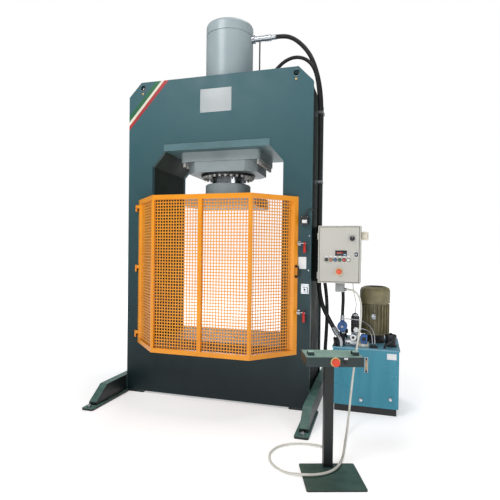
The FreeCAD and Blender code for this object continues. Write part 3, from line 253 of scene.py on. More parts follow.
def hose_finish(name, colour, light, turns, rough):
    """Wrapped rubber: shallow bands that wind along the hose, and dust that dulls it."""
    finish = Finish(name, rough)
    along = finish.add("TexCoord").outputs["UV"]
    bands = finish.maths("SINE", finish.maths("MULTIPLY", finish.axis("X", along), turns))
    dust = finish.spread(finish.noise(14, 5), 0.4, 0.75)
    finish.use(Base_Color=finish.mix(dust, colour, light),
               Roughness=finish.spread(finish.noise(60, 3), 0.3, 0.7, rough - 0.1, rough + 0.1))
    return finish.relief(bands, 0.25).material


# These coats carry a painted highlight on their upward faces.
CONSOLE = top_lit_finish("console_top_lit_coat", rgb(26, 46, 46), rgb(18, 34, 35), rgb(150, 184, 172),
                        rgb(120, 152, 142))
FOOT = top_lit_finish("foot_top_lit_coat", rgb(10, 22, 21), rgb(5, 12, 12), rgb(98, 136, 126), rgb(72, 106, 98))
STAND = top_lit_finish("stand_top_lit_coat", rgb(10, 20, 20), rgb(5, 11, 11), rgb(70, 98, 88), rgb(54, 78, 70))
CHROME = chrome_finish()
TANK = tank_finish(shadow_band_top=0.068)
LAMP = lamp_finish(split=1.26)
HOSE = hose_finish("hose_rubber", rgb(6, 6, 7), rgb(20, 20, 21), turns=900, rough=0.7)
CABLE = coat("grey_cable", rgb(196, 196, 190), rgb(180, 180, 174), 0.45, grain=400, patch=20)
CONDUIT = coat("grey_conduit", rgb(218, 217, 208), rgb(200, 199, 190), 0.45, grain=300, patch=12)

COATS = {
    FRAME: ("front_plate", "rear_plate", "bed_plates"),
    LIT_BAR_COAT: ("crosshead_plates",),
    SHADED_WALL: ("column_webs",),
    FOOT: ("feet",),
    CYLINDER: ("cylinder_barrel",),
    HEAD: ("cylinder_flange", "cylinder_head", "ram_flange", "platen"),
    CHROME: ("ram_rod",),
    DARK: ("gland_ring", "motor_rotor"),
    STEEL: ("cylinder_bolts", "guard_catches", "door_lock", "level_gauge", "pressure_gauge", "hose_fittings"),
    GUARD: ("guard_frame", "guard_mesh", "guard_hinges"),
    BLACK: ("guard_handle", "guard_switch", "selector_switch", "main_switch", "left_palm_button",
            "right_palm_button", "console_selector"),
    RED: ("upper_latch", "lower_latch", "stop_button"),
    STOP_RED: ("cabinet_stop", "console_stop"),
    BLUE: ("reset_button",),
    GREEN: ("start_button",),
    LAMP: ("signal_lamps",),
    CABINET: ("cabinet_shell", "cabinet_door"),
    GREY: ("junction_box",),
    IVORY: ("socket_box",),
    TANK: ("oil_tank",),
    LID: ("tank_lid",),
    CAST: ("bellhousing", "pump"),
    MOTOR: ("motor_body", "motor_cowl"),
    BLOCK: ("valve_manifold",),
    VALVE: ("solenoid_valves", "round_valve"),
    CONSOLE: ("console_box",),
    STAND: ("console_stand",),
    HOSE: ("main_hose", "return_hose", "pilot_hose"),
    CONDUIT: ("console_conduit",),
    CABLE: ("valve_cable",),
}
for material, names in COATS.items():
    for name in names:
        mesh = nodes[name].data
        mesh.materials.clear()
        mesh.materials.append(material)


# ---------------------------------------------------------------- camera, light and floor


def set_camera():
    """A camera at standing eye level in front of the press, right of its middle."""
    yaw, pitch, roll = (math.radians(a) for a in (16.33, -0.62, 0.72))
    ahead = Vector((-math.sin(yaw), math.cos(yaw), 0))
    across = Vector((math.cos(yaw), math.sin(yaw), 0))
    up = Vector((0, 0, 1))
    forward = ahead * math.cos(pitch) + up * math.sin(pitch)
    over = up * math.cos(pitch) - ahead * math.sin(pitch)
    right = across * math.cos(roll) + over * math.sin(roll)
    top = over * math.cos(roll) - across * math.sin(roll)
    data = bpy.data.cameras.new("camera")
    data.lens, data.sensor_width, data.shift_y = 31.4, 36.0, 0.0096
    data.clip_end = 200
    camera = bpy.data.objects.new("camera", data)
    turn = Matrix((right, top, -forward)).transposed().to_4x4()
    camera.matrix_world = Matrix.Translation((1.6175, -4.6184, 1.5557)) @ turn
    scene.collection.objects.link(camera)
    scene.camera = camera


def area_light(name, place, aim, size, power):
    """A round soft light that faces its aim."""
    data = bpy.data.lights.new(name, "AREA")
    data.shape, data.size, data.energy = "DISK", size, power
    light = bpy.data.objects.new(name, data)
    light.location = place
    light.rotation_euler = (Vector(aim) - Vector(place)).to_track_quat("-Z", "Y").to_euler()
    scene.collection.objects.link(light)


def studio():
    """A pale floor that fades into a white surround, with five soft lights."""
    world = bpy.data.worlds.new("studio")
    world.use_nodes = True
    tree = world.node_tree
    sky = tree.nodes["Background"]
    sky.inputs["Color"].default_value = (0.78, 0.8, 0.82, 1)
    sky.inputs["Strength"].default_value = 0.27
    seen = tree.nodes.new("ShaderNodeBackground")
    seen.inputs["Color"].default_value = (1, 1, 1, 1)
    rays = tree.nodes.new("ShaderNodeLightPath")
    mixed = tree.nodes.new("ShaderNodeMixShader")
    tree.links.new(rays.outputs["Is Camera Ray"], mixed.inputs[0])
    tree.links.new(sky.outputs[0], mixed.inputs[1])
    tree.links.new(seen.outputs[0], mixed.inputs[2])
    tree.links.new(mixed.outputs[0], tree.nodes["World Output"].inputs[0])
    scene.world = world
    area_light("key_light", (-2.5, -6.5, 7.5), (0, 0, 1.8), 4.0, 330)
    area_light("fill_light", (6.5, -4.5, 3.0), (0.8, 0, 1.2), 4.0, 100)
    area_light("low_light", (0.5, -6.0, 0.6), (0, 0, 2.6), 2.5, 50)
    area_light("top_light", (1.5, 1.0, 9.0), (0.3, 0, 1.0), 5.0, 230)
    area_light("back_light", (-3.0, 7.0, 5.0), (0, 0, 1.5), 4.0, 200)
    floor_coat = Finish("pale_floor", 0.85)
    floor_coat.use(Base_Color=floor_coat.mix(floor_coat.spread(floor_coat.noise(0.8, 4), 0.3, 0.7),
                                             rgb(238, 238, 238), rgb(233, 233, 234)))
    floor_coat.shader.inputs["Specular IOR Level"].default_value = 0.1
    floor_coat.shader.inputs["Emission Color"].default_value = (1, 1, 1, 1)
    away = floor_coat.add("VectorMath", {0: floor_coat.place}, operation="LENGTH").outputs["Value"]
    floor_coat.use(Emission_Strength=floor_coat.spread(away, 2.0, 9.0, 0.42, 0.92))
    bm = bmesh.new()
    bmesh.ops.create_grid(bm, x_segments=1, y_segments=1, size=60)
    mesh = bpy.data.meshes.new("floor")
    bm.to_mesh(mesh)
    bm.free()
    floor = bpy.data.objects.new("floor", mesh)
    mesh.materials.append(floor_coat.material)
    scene.collection.objects.link(floor)
    scene.view_settings.view_transform = "Standard"


set_camera()
studio()


# ---------------------------------------------------------------- hoses and cables


def route_curve(name, points, radius, sides=3):
    """One smooth open spline with a round section."""
    data = bpy.data.curves.new(name, "CURVE")
    data.dimensions = "3D"
    spline = data.splines.new("NURBS")
    spline.points.add(len(points) - 1)
    for point, place in zip(spline.points, points):
        point.co = (*place, 1)
    spline.order_u = 3
    spline.use_endpoint_u = True
    spline.resolution_u = 12
    data.bevel_depth, data.bevel_resolution, data.use_fill_caps = radius, sides, True
    made = bpy.data.objects.new(name, data)
    scene.collection.objects.link(made)
    return made


def centre_line(points, gap):
    """Even steps along the smooth line of a route, each a place and the way it runs."""
    bare = route_curve("bare_route", points, 0.0)
    bare.data.use_fill_caps = False
    bpy.context.view_layer.update()
    mesh = bpy.data.meshes.new_from_object(bare)
    line = [v.co.copy() for v in mesh.vertices]
    data = bare.data
    bpy.data.objects.remove(bare)
    bpy.data.curves.remove(data)
    bpy.data.meshes.remove(mesh)
    steps, spare = [], 0.0
    for start, end in zip(line, line[1:]):
        run = end - start
        while spare < run.length:
            steps.append((start + run.normalized() * spare, run.normalized()))
            spare += gap
        spare -= run.length
    return steps


MAIN_HOSE = [
    (0.470, 0, 3.862), (0.596, -0.002, 3.866), (0.712, -0.014, 3.826), (0.826, -0.040, 3.722),
    (0.930, -0.070, 3.570), (1.008, -0.096, 3.330), (1.042, -0.113, 3.080), (1.040, -0.119, 2.740),
    (1.036, -0.120, 2.250), (1.036, -0.121, 1.760), (1.032, -0.134, 1.330), (1.064, -0.180, 1.060),
    (1.148, -0.232, 0.892), (1.246, -0.268, 0.744),
]
RETURN_HOSE = [
    (0.500, -0.100, 3.410), (0.575, -0.106, 3.485), (0.665, -0.116, 3.548), (0.770, -0.132, 3.566),
    (0.874, -0.148, 3.530), (0.958, -0.162, 3.444), (1.006, -0.172, 3.300), (1.030, -0.180, 3.080),
    (1.041, -0.182, 2.720), (1.042, -0.182, 2.250), (1.040, -0.181, 1.930), (1.052, -0.170, 1.640),
    (1.088, -0.164, 1.360), (1.126, -0.158, 1.110), (1.134, -0.152, 0.920), (1.126, -0.150, 0.700),
    (1.117, -0.150, 0.550), (1.126, -0.150, 0.455), (1.128, -0.150, 0.372),
]
PILOT_HOSE = [
    (1.000, -0.060, 1.500), (1.060, -0.068, 1.496), (1.150, -0.096, 1.462), (1.236, -0.140, 1.376),
    (1.284, -0.180, 1.246), (1.296, -0.199, 1.080), (1.290, -0.200, 0.968), (1.290, -0.200, 0.878),
]
CONSOLE_CONDUIT = [
    (1.330, -0.330, 1.188), (1.374, -0.331, 1.188), (1.416, -0.338, 1.171), (1.448, -0.348, 1.136),
    (1.467, -0.360, 1.086), (1.475, -0.375, 1.018), (1.475, -0.400, 0.925), (1.465, -0.430, 0.815),
    (1.450, -0.462, 0.706), (1.435, -0.496, 0.592), (1.422, -0.536, 0.470), (1.411, -0.580, 0.350),
    (1.401, -0.634, 0.228), (1.394, -0.712, 0.112), (1.388, -0.820, 0.030), (1.386, -0.950, 0.012),
    (1.388, -1.090, 0.013), (1.390, -1.222, 0.015), (1.390, -1.328, 0.025), (1.380, -1.430, 0.025),
    (1.350, -1.530, 0.025), (1.292, -1.604, 0.025), (1.212, -1.650, 0.025), (1.120, -1.668, 0.023),
    (1.030, -1.655, 0.011), (0.940, -1.600, 0.011), (0.876, -1.515, 0.011), (0.851, -1.410, 0.011),
    (0.868, -1.305, 0.011), (0.930, -1.222, 0.011), (1.022, -1.172, 0.011), (1.114, -1.156, 0.012),
    (1.176, -1.166, 0.016), (1.222, -1.202, 0.028), (1.246, -1.262, 0.046), (1.254, -1.336, 0.059),
    (1.2768, -1.4188, 0.060),
]
VALVE_CABLE = [
    (1.392, -0.300, 1.252), (1.393, -0.300, 1.208), (1.402, -0.288, 1.152), (1.416, -0.262, 1.088),
    (1.424, -0.224, 1.028), (1.414, -0.178, 0.984), (1.411, -0.165, 0.944),
]


def lay_cord(name, points, diameter, finish, with_pieces=()):
    """Lays the shown line of a cord in the place of its node, with what the cord is like."""
    piece = route_curve(name + "_line", points, diameter / 2, 4)
    piece.data.materials.append(finish)
    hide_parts(name)
    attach(piece, "press")


# ---------------------------------------------------------------- making pieces

ACROSS, BACK, UP, FRONT, DOWN = (1, 0, 0), (0, 1, 0), (0, 0, 1), (0, -1, 0), (0, 0, -1)
HEX = 6


class Piece:
    """One visible piece, built from bmesh shapes at their final places. A shape has the piece's own finish
    unless it names another."""

    def __init__(self, name, body, slot, finish):
        self.name, self.body, self.slot, self.finishes = name, body, slot, [finish]
        self.whole = bmesh.new()
        self.spot = Matrix.Identity(4)

    def join(self, shape, finish=None, place=None):
        """Adds a shape, moved by its own place and then by the piece's spot."""
        finish = finish or self.finishes[0]
        if finish not in self.finishes:
            self.finishes.append(finish)
        for face in shape.faces:
            face.material_index = self.finishes.index(finish)
        if place:
            bmesh.ops.transform(shape, matrix=place, verts=shape.verts)
        bmesh.ops.transform(shape, matrix=self.spot, verts=shape.verts)
        mesh = bpy.data.meshes.new("shape")
        shape.to_mesh(mesh)
        shape.free()
        self.whole.from_mesh(mesh)
        bpy.data.meshes.remove(mesh)

    def block(self, low, high, edge=0.0, finish=None, place=None):
        """A block between two corners, with rounded edges."""
        low, high = Vector(low), Vector(high)
        shape = bmesh.new()
        size = Matrix.Diagonal((*(high - low), 1))
        bmesh.ops.create_cube(shape, size=1, matrix=Matrix.Translation((low + high) / 2) @ size)
        if edge:
            round_over(shape, shape.edges[:], edge)
        self.join(shape, finish, place)

    def rod(self, start, end, radius, edge, finish=None, sides=28):
        """A round bar or, with few sides, a nut, between two points."""
        start, end = Vector(start), Vector(end)
        shape = bmesh.new()
        bmesh.ops.create_cone(shape, cap_ends=True, segments=sides, radius1=radius, radius2=radius,
                              depth=(end - start).length)
        if edge:
            rims = [e for e in shape.edges if any(len(f.verts) == sides for f in e.link_faces)]
            round_over(shape, rims, edge)
        self.join(shape, finish, aimed((start + end) / 2, end - start))

    def turned(self, outline, place, way=UP, finish=None, sides=40):
        """A turned shape: an outline of (radius, height) spun about the way it points. A profile that starts
        and ends on the axis is closed."""
        shape = bmesh.new()
        points = [shape.verts.new((radius, 0, height)) for radius, height in outline]
        rims = [shape.edges.new(pair) for pair in zip(points, points[1:])]
        bmesh.ops.spin(shape, geom=points + rims, axis=UP, cent=(0, 0, 0), angle=math.tau, steps=sides,
                       use_merge=True)
        bmesh.ops.remove_doubles(shape, verts=shape.verts, dist=1e-6)
        bmesh.ops.recalc_face_normals(shape, faces=shape.faces)
        self.join(shape, finish, aimed(Vector(place), Vector(way)))

    def pipe(self, points, radius, finish):
        """A smooth rigid pipe along a route."""
        line = route_curve("pipe_route", points, radius)
        bpy.context.view_layer.update()
        mesh = bpy.data.meshes.new_from_object(line)
        data = line.data
        bpy.data.objects.remove(line)
        bpy.data.curves.remove(data)
        shape = bmesh.new()
        shape.from_mesh(mesh)
        bpy.data.meshes.remove(mesh)
        self.join(shape, finish)

    def ring(self, radius, thick, place, way=UP, finish=None, sides=40):
        """A round ring of round section."""
        turns = [math.tau * i / 8 for i in range(9)]
        outline = [(radius + thick * math.cos(turn), thick * math.sin(turn)) for turn in turns]
        self.turned(outline, place, way, finish, sides)

    def sheet(self, corners, thick, finish):
        """A flat outline with a thickness, pushed along its normal."""
        shape = bmesh.new()
        face = shape.faces.new([shape.verts.new(corner) for corner in corners])
        face.normal_update()
        push = face.normal * thick
        made = bmesh.ops.extrude_face_region(shape, geom=[face])
        moved = [v for v in made["geom"] if isinstance(v, bmesh.types.BMVert)]
        bmesh.ops.translate(shape, vec=push, verts=moved)
        bmesh.ops.recalc_face_normals(shape, faces=shape.faces)
        self.join(shape, finish)

    def screw(self, place, way, radius, finish=None, high=None):
        """A low round head with a hexagon socket sunk in it."""
        high = high or radius * 0.7
        shape = bmesh.new()
        bmesh.ops.create_cone(shape, cap_ends=True, segments=24, radius1=radius, radius2=radius, depth=high,
                              matrix=Matrix.Translation((0, 0, high / 2)))
        rims = [e for e in shape.edges if all(v.co.z > high - 1e-6 for v in e.verts)]
        round_over(shape, rims, radius * 0.14)
        top = max(shape.faces, key=lambda f: f.calc_center_median().z)
        bmesh.ops.inset_region(shape, faces=[top], thickness=radius * 0.34)
        pushed = bmesh.ops.extrude_face_region(shape, geom=[top])
        sunk = [v for v in pushed["geom"] if isinstance(v, bmesh.types.BMVert)]
        bmesh.ops.translate(shape, vec=(0, 0, -high * 0.5), verts=sunk)
        bmesh.ops.delete(shape, geom=[top], context="FACES")
        self.join(shape, finish, aimed(Vector(place), Vector(way)))

    def nut(self, place, way, radius, high, finish=None):
        """A hexagon nut or bolt head with its corners eased."""
        place, way = Vector(place), Vector(way).normalized()
        self.rod(place, place + way * high, radius, high * 0.16, finish, HEX)

    def weld(self, start, end, size, finish=None):
        """A weld bead: a row of ripples along a seam."""
        start, end = Vector(start), Vector(end)
        length = (end - start).length
        count = max(6, round(length / 0.011))
        outline = [(0, 0)]
        for i in range(count):
            swell = size * (0.82 + 0.14 * math.sin(i * 1.9) + 0.08 * math.sin(i * 0.47))
            outline += [(swell * 0.84, length * i / count), (swell, length * (i + 0.55) / count)]
        outline += [(0, length)]
        self.turned(outline, start, end - start, finish, 7)

    def done(self, *stands_for, smooth=32):
        """Makes the piece's object, parents it to its body, and hides the nodes it stands in for."""
        mesh = bpy.data.meshes.new(self.name)
        self.whole.to_mesh(mesh)
        self.whole.free()
        mesh.shade_smooth()
        mesh.set_sharp_from_angle(angle=math.radians(smooth))
        for finish in self.finishes:
            mesh.materials.append(finish)
        made = bpy.data.objects.new(self.name, mesh)
        scene.collection.objects.link(made)
        if stands_for:
            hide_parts(*stands_for)
        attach(made, self.body)
        return made


def round_over(shape, edges, size):
    """Rounds off edges of a shape."""
    bmesh.ops.bevel(shape, geom=edges, offset=size, segments=2, profile=0.5, affect="EDGES", material=-1,
                    clamp_overlap=True)


def aimed(place, way):
    """The transform that takes a shape built along Z to a place and a way."""
    return Matrix.Translation(place) @ way.to_track_quat("Z", "Y").to_matrix().to_4x4()


# ---------------------------------------------------------------- perforated guard sheets

PITCH, STRIP, SHEET = 0.029, 0.0086, 0.0022


def perforated(piece, start, end, low, high):
    """A sheet with square holes between two upright lines."""
    start, end = Vector(start), Vector(end)
    across = end - start
    columns, rows = round(across.length / PITCH), round((high - low) / PITCH)
    shape = bmesh.new()
    bmesh.ops.create_grid(shape, x_segments=columns, y_segments=rows, size=0.5,
                          matrix=Matrix.Diagonal((columns * PITCH, rows * PITCH, 1, 1)))
    holes = shape.faces[:]
    bmesh.ops.inset_individual(shape, faces=holes, thickness=STRIP / 2, use_even_offset=True)
    bmesh.ops.delete(shape, geom=holes, context="FACES")
    bmesh.ops.solidify(shape, geom=shape.faces[:], thickness=SHEET)
    fit = Matrix.Diagonal((across.length / (columns * PITCH), (high - low) / (rows * PITCH), 1, 1))
    side, up = across.normalized(), Vector(UP)
    turn = Matrix((side, up, side.cross(up))).transposed().to_4x4()
    middle = (start + end) / 2 + up * (low + high) / 2
    piece.join(shape, place=Matrix.Translation(middle) @ turn @ fit)


def guard_sheets():
    """The guard's four sheets, between its posts and rails."""
    piece = Piece("guard_sheets", "front_guard", "guard_paint", GUARD)
    low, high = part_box("guard_mesh")
    bottom, top, front = low.z - 0.004, high.z + 0.004, -0.7805
    for side in (-1, 1):
        perforated(piece, (side * 0.020, front, 0), (side * 0.480, front, 0), bottom, top)
        perforated(piece, (side * 0.4993, -0.7749, 0), (side * 0.8146, -0.4508, 0), bottom, top)
    piece.done("guard_mesh", smooth=20)


guard_sheets()


# ---------------------------------------------------------------- the frame's details

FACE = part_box("front_plate")[0].y
PLATE_SIDE, PLATE_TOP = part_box("front_plate")[1].x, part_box("front_plate")[1].z
BAR_END = 0.577


def frame_plates():
    """Corner bands, blank plates, bolts and the rigid line beside the cylinder."""
    piece = Piece("frame_plates", "press", "frame_paint", BAND_GREEN)
    skin, side, top = 0.0006, PLATE_SIDE - 0.0005, PLATE_TOP - 0.0005
    for finish, near, far, high, low in ((BAND_GREEN, 0.683, 0.619, 2.990, 2.929),
                                         (IVORY, 0.619, 0.584, 2.929, 2.885),
                                         (BAND_RED, 0.584, 0.530, 2.885, 2.841)):
        corners = [(-near, FACE, top), (-side, FACE, high), (-side, FACE, low), (-far, FACE, top)]
        piece.sheet(corners, skin, finish)
    plate = FACE - 0.003
    piece.block((-0.170, plate, 2.970), (0.170, FACE, 3.210), 0.001, SILVER)
    for x in (-0.158, 0.158):
        for z in (2.982, 3.198):
            piece.screw((x, plate, z), FRONT, 0.005, STEEL)
    piece.block((0.878, FACE - 0.001, 1.380), (0.955, FACE, 1.495), 0.0004, WHITE)
    for x in (-0.834, 0.834):
        piece.nut((x, FACE, 3.220), FRONT, 0.014, 0.008, BRASS)
        piece.ring(0.0315, 0.0018, (x, FACE - 0.0004, 3.286), BACK, STEEL)
    for x, z in ((0.981, 1.701), (0.978, 1.367)):
        piece.screw((x, FACE, z), FRONT, 0.008, STEEL)
    x, y, foot, head, end = 0.352, -0.020, 3.346, 3.812, 3.834
    piece.rod((x, y, foot), (x, y, end), 0.008, 0, BLACK, 12)
    for z in (foot, head):
        piece.nut((x, y, z), UP, 0.013, end - head, STEEL)
    piece.done()


def frame_welds():
    """Beads where the bar, the uprights' walls and the feet meet the plates."""
    piece = Piece("frame_welds", "press", "frame_paint", WELD)
    wall, edge, foot, inner = 0.9855, PLATE_SIDE + 0.0005, 1.0805, 0.3685
    for end in (-1, 1):
        y = end * 0.4195
        piece.weld((-BAR_END, y, 2.664), (BAR_END, y, 2.664), 0.006)
        for side in (-1, 1):
            piece.weld((side * wall, end * inner, 0.22), (side * wall, end * inner, 3.17), 0.006)
            piece.weld((side * edge, end * 0.419, 0.022), (side * edge, end * 0.419, 0.178), 0.005)
            piece.weld((side * foot, end * 0.430, 0.0205), (side * foot, end * 0.955, 0.0205), 0.005)
    for y in (-inner, inner):
        piece.weld((-0.85, y, 3.296), (0.85, y, 3.296), 0.005)
    piece.done()


def foot_anchors():
    """A washer, a nut and the end of its stud at each corner."""
    piece = Piece("anchor_nuts", "press", "bright_steel", STEEL)
    pad, washer, stud = 0.020, 0.0235, 0.048
    for x in (-1.04, 1.04):
        for y in (-1.018, 1.018):
            piece.rod((x, y, pad), (x, y, washer), 0.021, 0.0006)
            piece.nut((x, y, washer), UP, 0.0175, 0.016)
            piece.rod((x, y, 0), (x, y, stud), 0.0095, 0.001)
    piece.done()


frame_plates()
frame_welds()
foot_anchors()


# ---------------------------------------------------------------- the cylinder's details


def round_places(count, radius, height, start=0.0, x=0.0, y=0.0):
    """Places spread evenly on a level circle."""
    for i in range(count):
        angle = math.tau * (i + start) / count
        yield x + radius * math.cos(angle), y + radius * math.sin(angle), height


def cylinder_screws():
    """Socket heads: a row under each end of the flange, and a ring under the gland."""
    piece = Piece("cylinder_screws", "press", "bright_steel", PALE)
    for x in (-0.416, 0.416):
        for i in range(-3, 4):
            piece.screw((x, i * 0.084, 2.495), DOWN, 0.016, high=0.046)
    for place in round_places(28, 0.274, 2.356):
        piece.screw(place, DOWN, 0.014, high=0.022)
    piece.done("cylinder_bolts")


def cylinder_trim():
    """Weld round the barrel where it leaves the crosshead, wiper in the gland, sunk screws in the cap."""
    piece = Piece("cylinder_trim", "press", "cylinder_paint", CYLINDER)
    piece.ring(0.262, 0.007, (0, 0, 3.347), sides=72)
    piece.ring(0.1875, 0.006, (0, 0, 2.357), finish=BLACK, sides=60)
    for place in round_places(6, 0.17, 4.0225):
        piece.screw(place, UP, 0.014, STEEL, 0.0005)
    piece.done()


def ram_screws():
    """Screws round the top of the ram's flange and at the platen's corners."""
    piece = Piece("ram_screws", "ram", "dark_steel", DARK)
    for place in round_places(12, 0.218, 2.270, 0.5):
        piece.screw(place, UP, 0.013, high=0.006)
    for x in (-0.32, 0.32):
        for y in (-0.23, 0.23):
            piece.screw((x, y, 2.130), UP, 0.016, STEEL, 0.008)
    piece.done()


cylinder_screws()
cylinder_trim()
ram_screws()


# ---------------------------------------------------------------- guard, latches and switch

LATCHES = 1.6270, 0.9590


def catch_details():
    """Screws of the brackets, catch plate and switch, the catch's dark slot, and the latches' washers."""
    piece = Piece("catch_details", "press", "bright_steel", DARK)
    middle, catch = 0.9465, FACE - 0.0352
    for z in (1.222, 1.150):
        for x in (middle - 0.031, middle + 0.032):
            piece.screw((x, FACE - 0.005, z), FRONT, 0.004, high=0.002)
    piece.rod((middle, FACE - 0.0335, 1.182), (middle, catch, 1.182), 0.010, 0.0004)
    piece.block((0.932, catch, 1.156), (0.961, FACE - 0.0338, 1.163), 0.0004)
    for z in (1.612, 1.638, 0.944, 0.970):
        piece.screw((0.8935, FACE - 0.006, z), FRONT, 0.0035, high=0.002)
    piece.block((0.915, FACE - 0.0428, 1.822), (0.962, FACE - 0.0418, 1.852), 0.0003, WHITE)
    for x in (0.912, 0.965):
        for z in (1.814, 1.883):
            piece.screw((x, FACE - 0.042, z), FRONT, 0.003, STEEL, 0.001)
    washer = [(0, 0), (0.0105, 0), (0.0105, 0.003), (0.008, 0.006), (0, 0.006)]
    for z in LATCHES:
        piece.turned(washer, (0.9515, -0.458, z), ACROSS, STEEL)
    piece.done()


def handle_feet():
    """A screwed foot under each end of the guard's handle, and caps on the tubes."""
    piece = Piece("handle_feet", "front_guard", "black_plastic", BLACK)
    foot = [(0, 0), (0.0135, 0), (0.0135, 0.004), (0.0105, 0.007), (0, 0.007)]
    for z in (1.305, 1.405):
        piece.turned(foot, (0.8595, -0.4402, z), (0.717, -0.697, 0))
    y = -0.7825
    for x in (-0.4995, 0.4995):
        piece.block((x - 0.0195, y - 0.004, 2.0798), (x + 0.0195, y + 0.02, 2.0808), 0.0004, GUARD)
    piece.done()


catch_details()
handle_feet()


# ---------------------------------------------------------------- the control cabinet's details

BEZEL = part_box("cabinet_door")[0].y
DOOR = BEZEL + 0.005
ROW = 1.474
ROW_PLACES = [1.147 + 0.0415 * i for i in range(6)]
MAIN_SWITCH = 1.387, 1.676
SELECTOR = ROW_PLACES[0], ROW
STOP = 1.268, 1.362


def collar(piece, inner, outer, back, front, x, z, finish=None):
    """A flat ring round a control, with its front edge eased."""
    ease = min(0.0012, abs(front - back) * 0.4)
    high = back - front
    outline = [(inner, 0), (inner, high), (outer - ease, high), (outer, high - ease), (outer, 0), (inner, 0)]
    piece.turned(outline, (x, back, z), FRONT, finish)


def door_details():
    """Dark strips round the door as painted shade of its gap to the shell, display, blank legend plates,
    collars and the lock's plate on the cabinet's door.
    """
    piece = Piece("door_details", "cabinet_door", "cabinet_paint", RUBBER_AND_GAP_SHADE)
    # Painted shade: dark strips where the shade of the gap between door and shell falls.
    left, right, low, high = 1.080, 1.450, 1.264, 1.785
    half, front = 0.0025, DOOR - 0.0005
    for x in (left, right):
        piece.block((x - half, front, low), (x + half, DOOR, high))
    for z in (low, high):
        piece.block((left, front, z - half), (right, DOOR, z + half))
    screen, glass = DOOR - 0.0066, DOOR - 0.0058
    piece.block((1.230, DOOR - 0.006, 1.512), (1.337, DOOR, 1.562), 0.002, BLACK)
    piece.block((1.240, screen, 1.528), (1.302, glass, 1.554), 0.0004, GLASS)
    for x in (1.250, 1.264, 1.278, 1.292):
        piece.block((x - 0.003, DOOR - 0.0069, 1.535), (x + 0.003, DOOR - 0.0064, 1.547), 0, DIGIT)
    piece.block((1.308, screen, 1.518), (1.332, glass, 1.530), 0.0004, SKY)
    for x in ROW_PLACES:
        piece.block((x - 0.011, DOOR - 0.001, ROW + 0.023), (x + 0.011, DOOR, ROW + 0.037), 0.0004, WHITE)
        collar(piece, 0.0143, 0.0178, DOOR, BEZEL - 0.0008, x, ROW, BLACK)
    collar(piece, 0.0096, 0.0335, BEZEL, BEZEL - 0.0016, *STOP, YELLOW)
    x, z = MAIN_SWITCH
    piece.block((x - 0.035, DOOR - 0.0014, z - 0.035), (x + 0.035, DOOR, z + 0.035), 0.0008, PALE)
    collar(piece, 0.0074, 0.0282, BEZEL, BEZEL - 0.001, x, z, PALE)
    piece.block((1.404, DOOR - 0.001, 1.500), (1.444, DOOR, 1.552), 0.0006, WHITE)
    piece.block((1.4085, BEZEL - 0.0006, 1.506), (1.4395, DOOR, 1.546), 0.001, BLACK)
    piece.done()


def knob_pointer(name, body, x, z, radius):
    """A bright line across a turning knob."""
    piece = Piece(name, body, "grey_plastic", WHITE)
    half, front = 0.0012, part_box(body)[0].y
    piece.block((x - half, front - 0.0006, z + radius * 0.25), (x + half, front + 0.0002, z + radius * 0.82),
                0.0002)
    piece.done()


def cabinet_inside():
    """Mounting plate with rails, ducts and switchgear behind the door."""
    piece = Piece("switchgear", "press", "grey_plastic", STEEL)
    plate, rail = -0.233, -0.241
    piece.block((1.084, plate, 1.272), (1.446, plate + 0.003, 1.778), 0.001)
    for z in (1.700, 1.585, 1.365):
        piece.block((1.100, rail, z - 0.0175), (1.430, plate, z + 0.0175), 0.001)
    for z in (1.752, 1.642, 1.475, 1.300):
        piece.block((1.094, plate - 0.050, z - 0.016), (1.436, plate, z + 0.016), 0.001, GREY)
    for i in range(15):
        x = 1.108 + 0.018 * i
        piece.block((x, plate - 0.066, 1.660), (x + 0.0172, rail, 1.722), 0.001, WHITE)
        piece.block((x + 0.005, plate - 0.074, 1.688), (x + 0.012, plate - 0.065, 1.702), 0.001, BLACK)
    for i in range(5):
        x = 1.110 + 0.060 * i
        piece.block((x, plate - 0.080, 1.505), (x + 0.045, rail, 1.620), 0.002, BLACK if i % 2 else GREY)
        for z in (1.514, 1.610):
            for over in (0.009, 0.0225, 0.036):
                piece.screw((x + over, plate - 0.080, z), FRONT, 0.003, high=0.001)
    for i in range(30):
        x = 1.110 + 0.0103 * i
        finish = BLUE if i % 6 == 5 else GREY
        piece.block((x, plate - 0.045, 1.340), (x + 0.0095, rail, 1.392), 0.0008, finish)
    piece.block((1.120, plate - 0.060, 1.400), (1.200, rail, 1.450), 0.003, RED)
    piece.done()


def outer_boxes():
    """Lid of the socket, and the junction box's lid, screws and boss."""
    piece = Piece("box_lids", "press", "grey_plastic", IVORY)
    x, z = 1.4965, 1.702
    piece.block((1.468, -0.3702, 1.668), (1.525, -0.3678, 1.737), 0.001)
    piece.rod((x, -0.3700, z), (x, -0.3745, z), 0.024, 0.0015)
    piece.ring(0.0245, 0.001, (x, -0.3705, z), BACK, RUBBER_AND_GAP_SHADE)
    lid = -0.3742
    piece.block((1.232, lid, 1.168), (1.312, -0.3718, 1.250), 0.001, GREY)
    piece.ring(0.022, 0.0014, (1.272, -0.3744, 1.209), BACK, GREY)
    for x in (1.238, 1.306):
        for z in (1.174, 1.244):
            piece.screw((x, lid, z), FRONT, 0.003, STEEL, 0.001)
    piece.rod(CONSOLE_CONDUIT[0], (1.3340, -0.330, 1.188), 0.0175, 0.0006, GREY, HEX)
    piece.done()


door_details()
knob_pointer("main_switch_mark", "main_switch", *MAIN_SWITCH, 0.023)
knob_pointer("selector_mark", "selector_switch", *SELECTOR, 0.0135)
cabinet_inside()
outer_boxes()


# ---------------------------------------------------------------- the power unit's details

LID_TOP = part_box("tank_lid")[1].z
TANK_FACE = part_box("oil_tank")[0].y
MOTOR_X, MOTOR_Y = 1.595, 0.100
LINE = -0.240


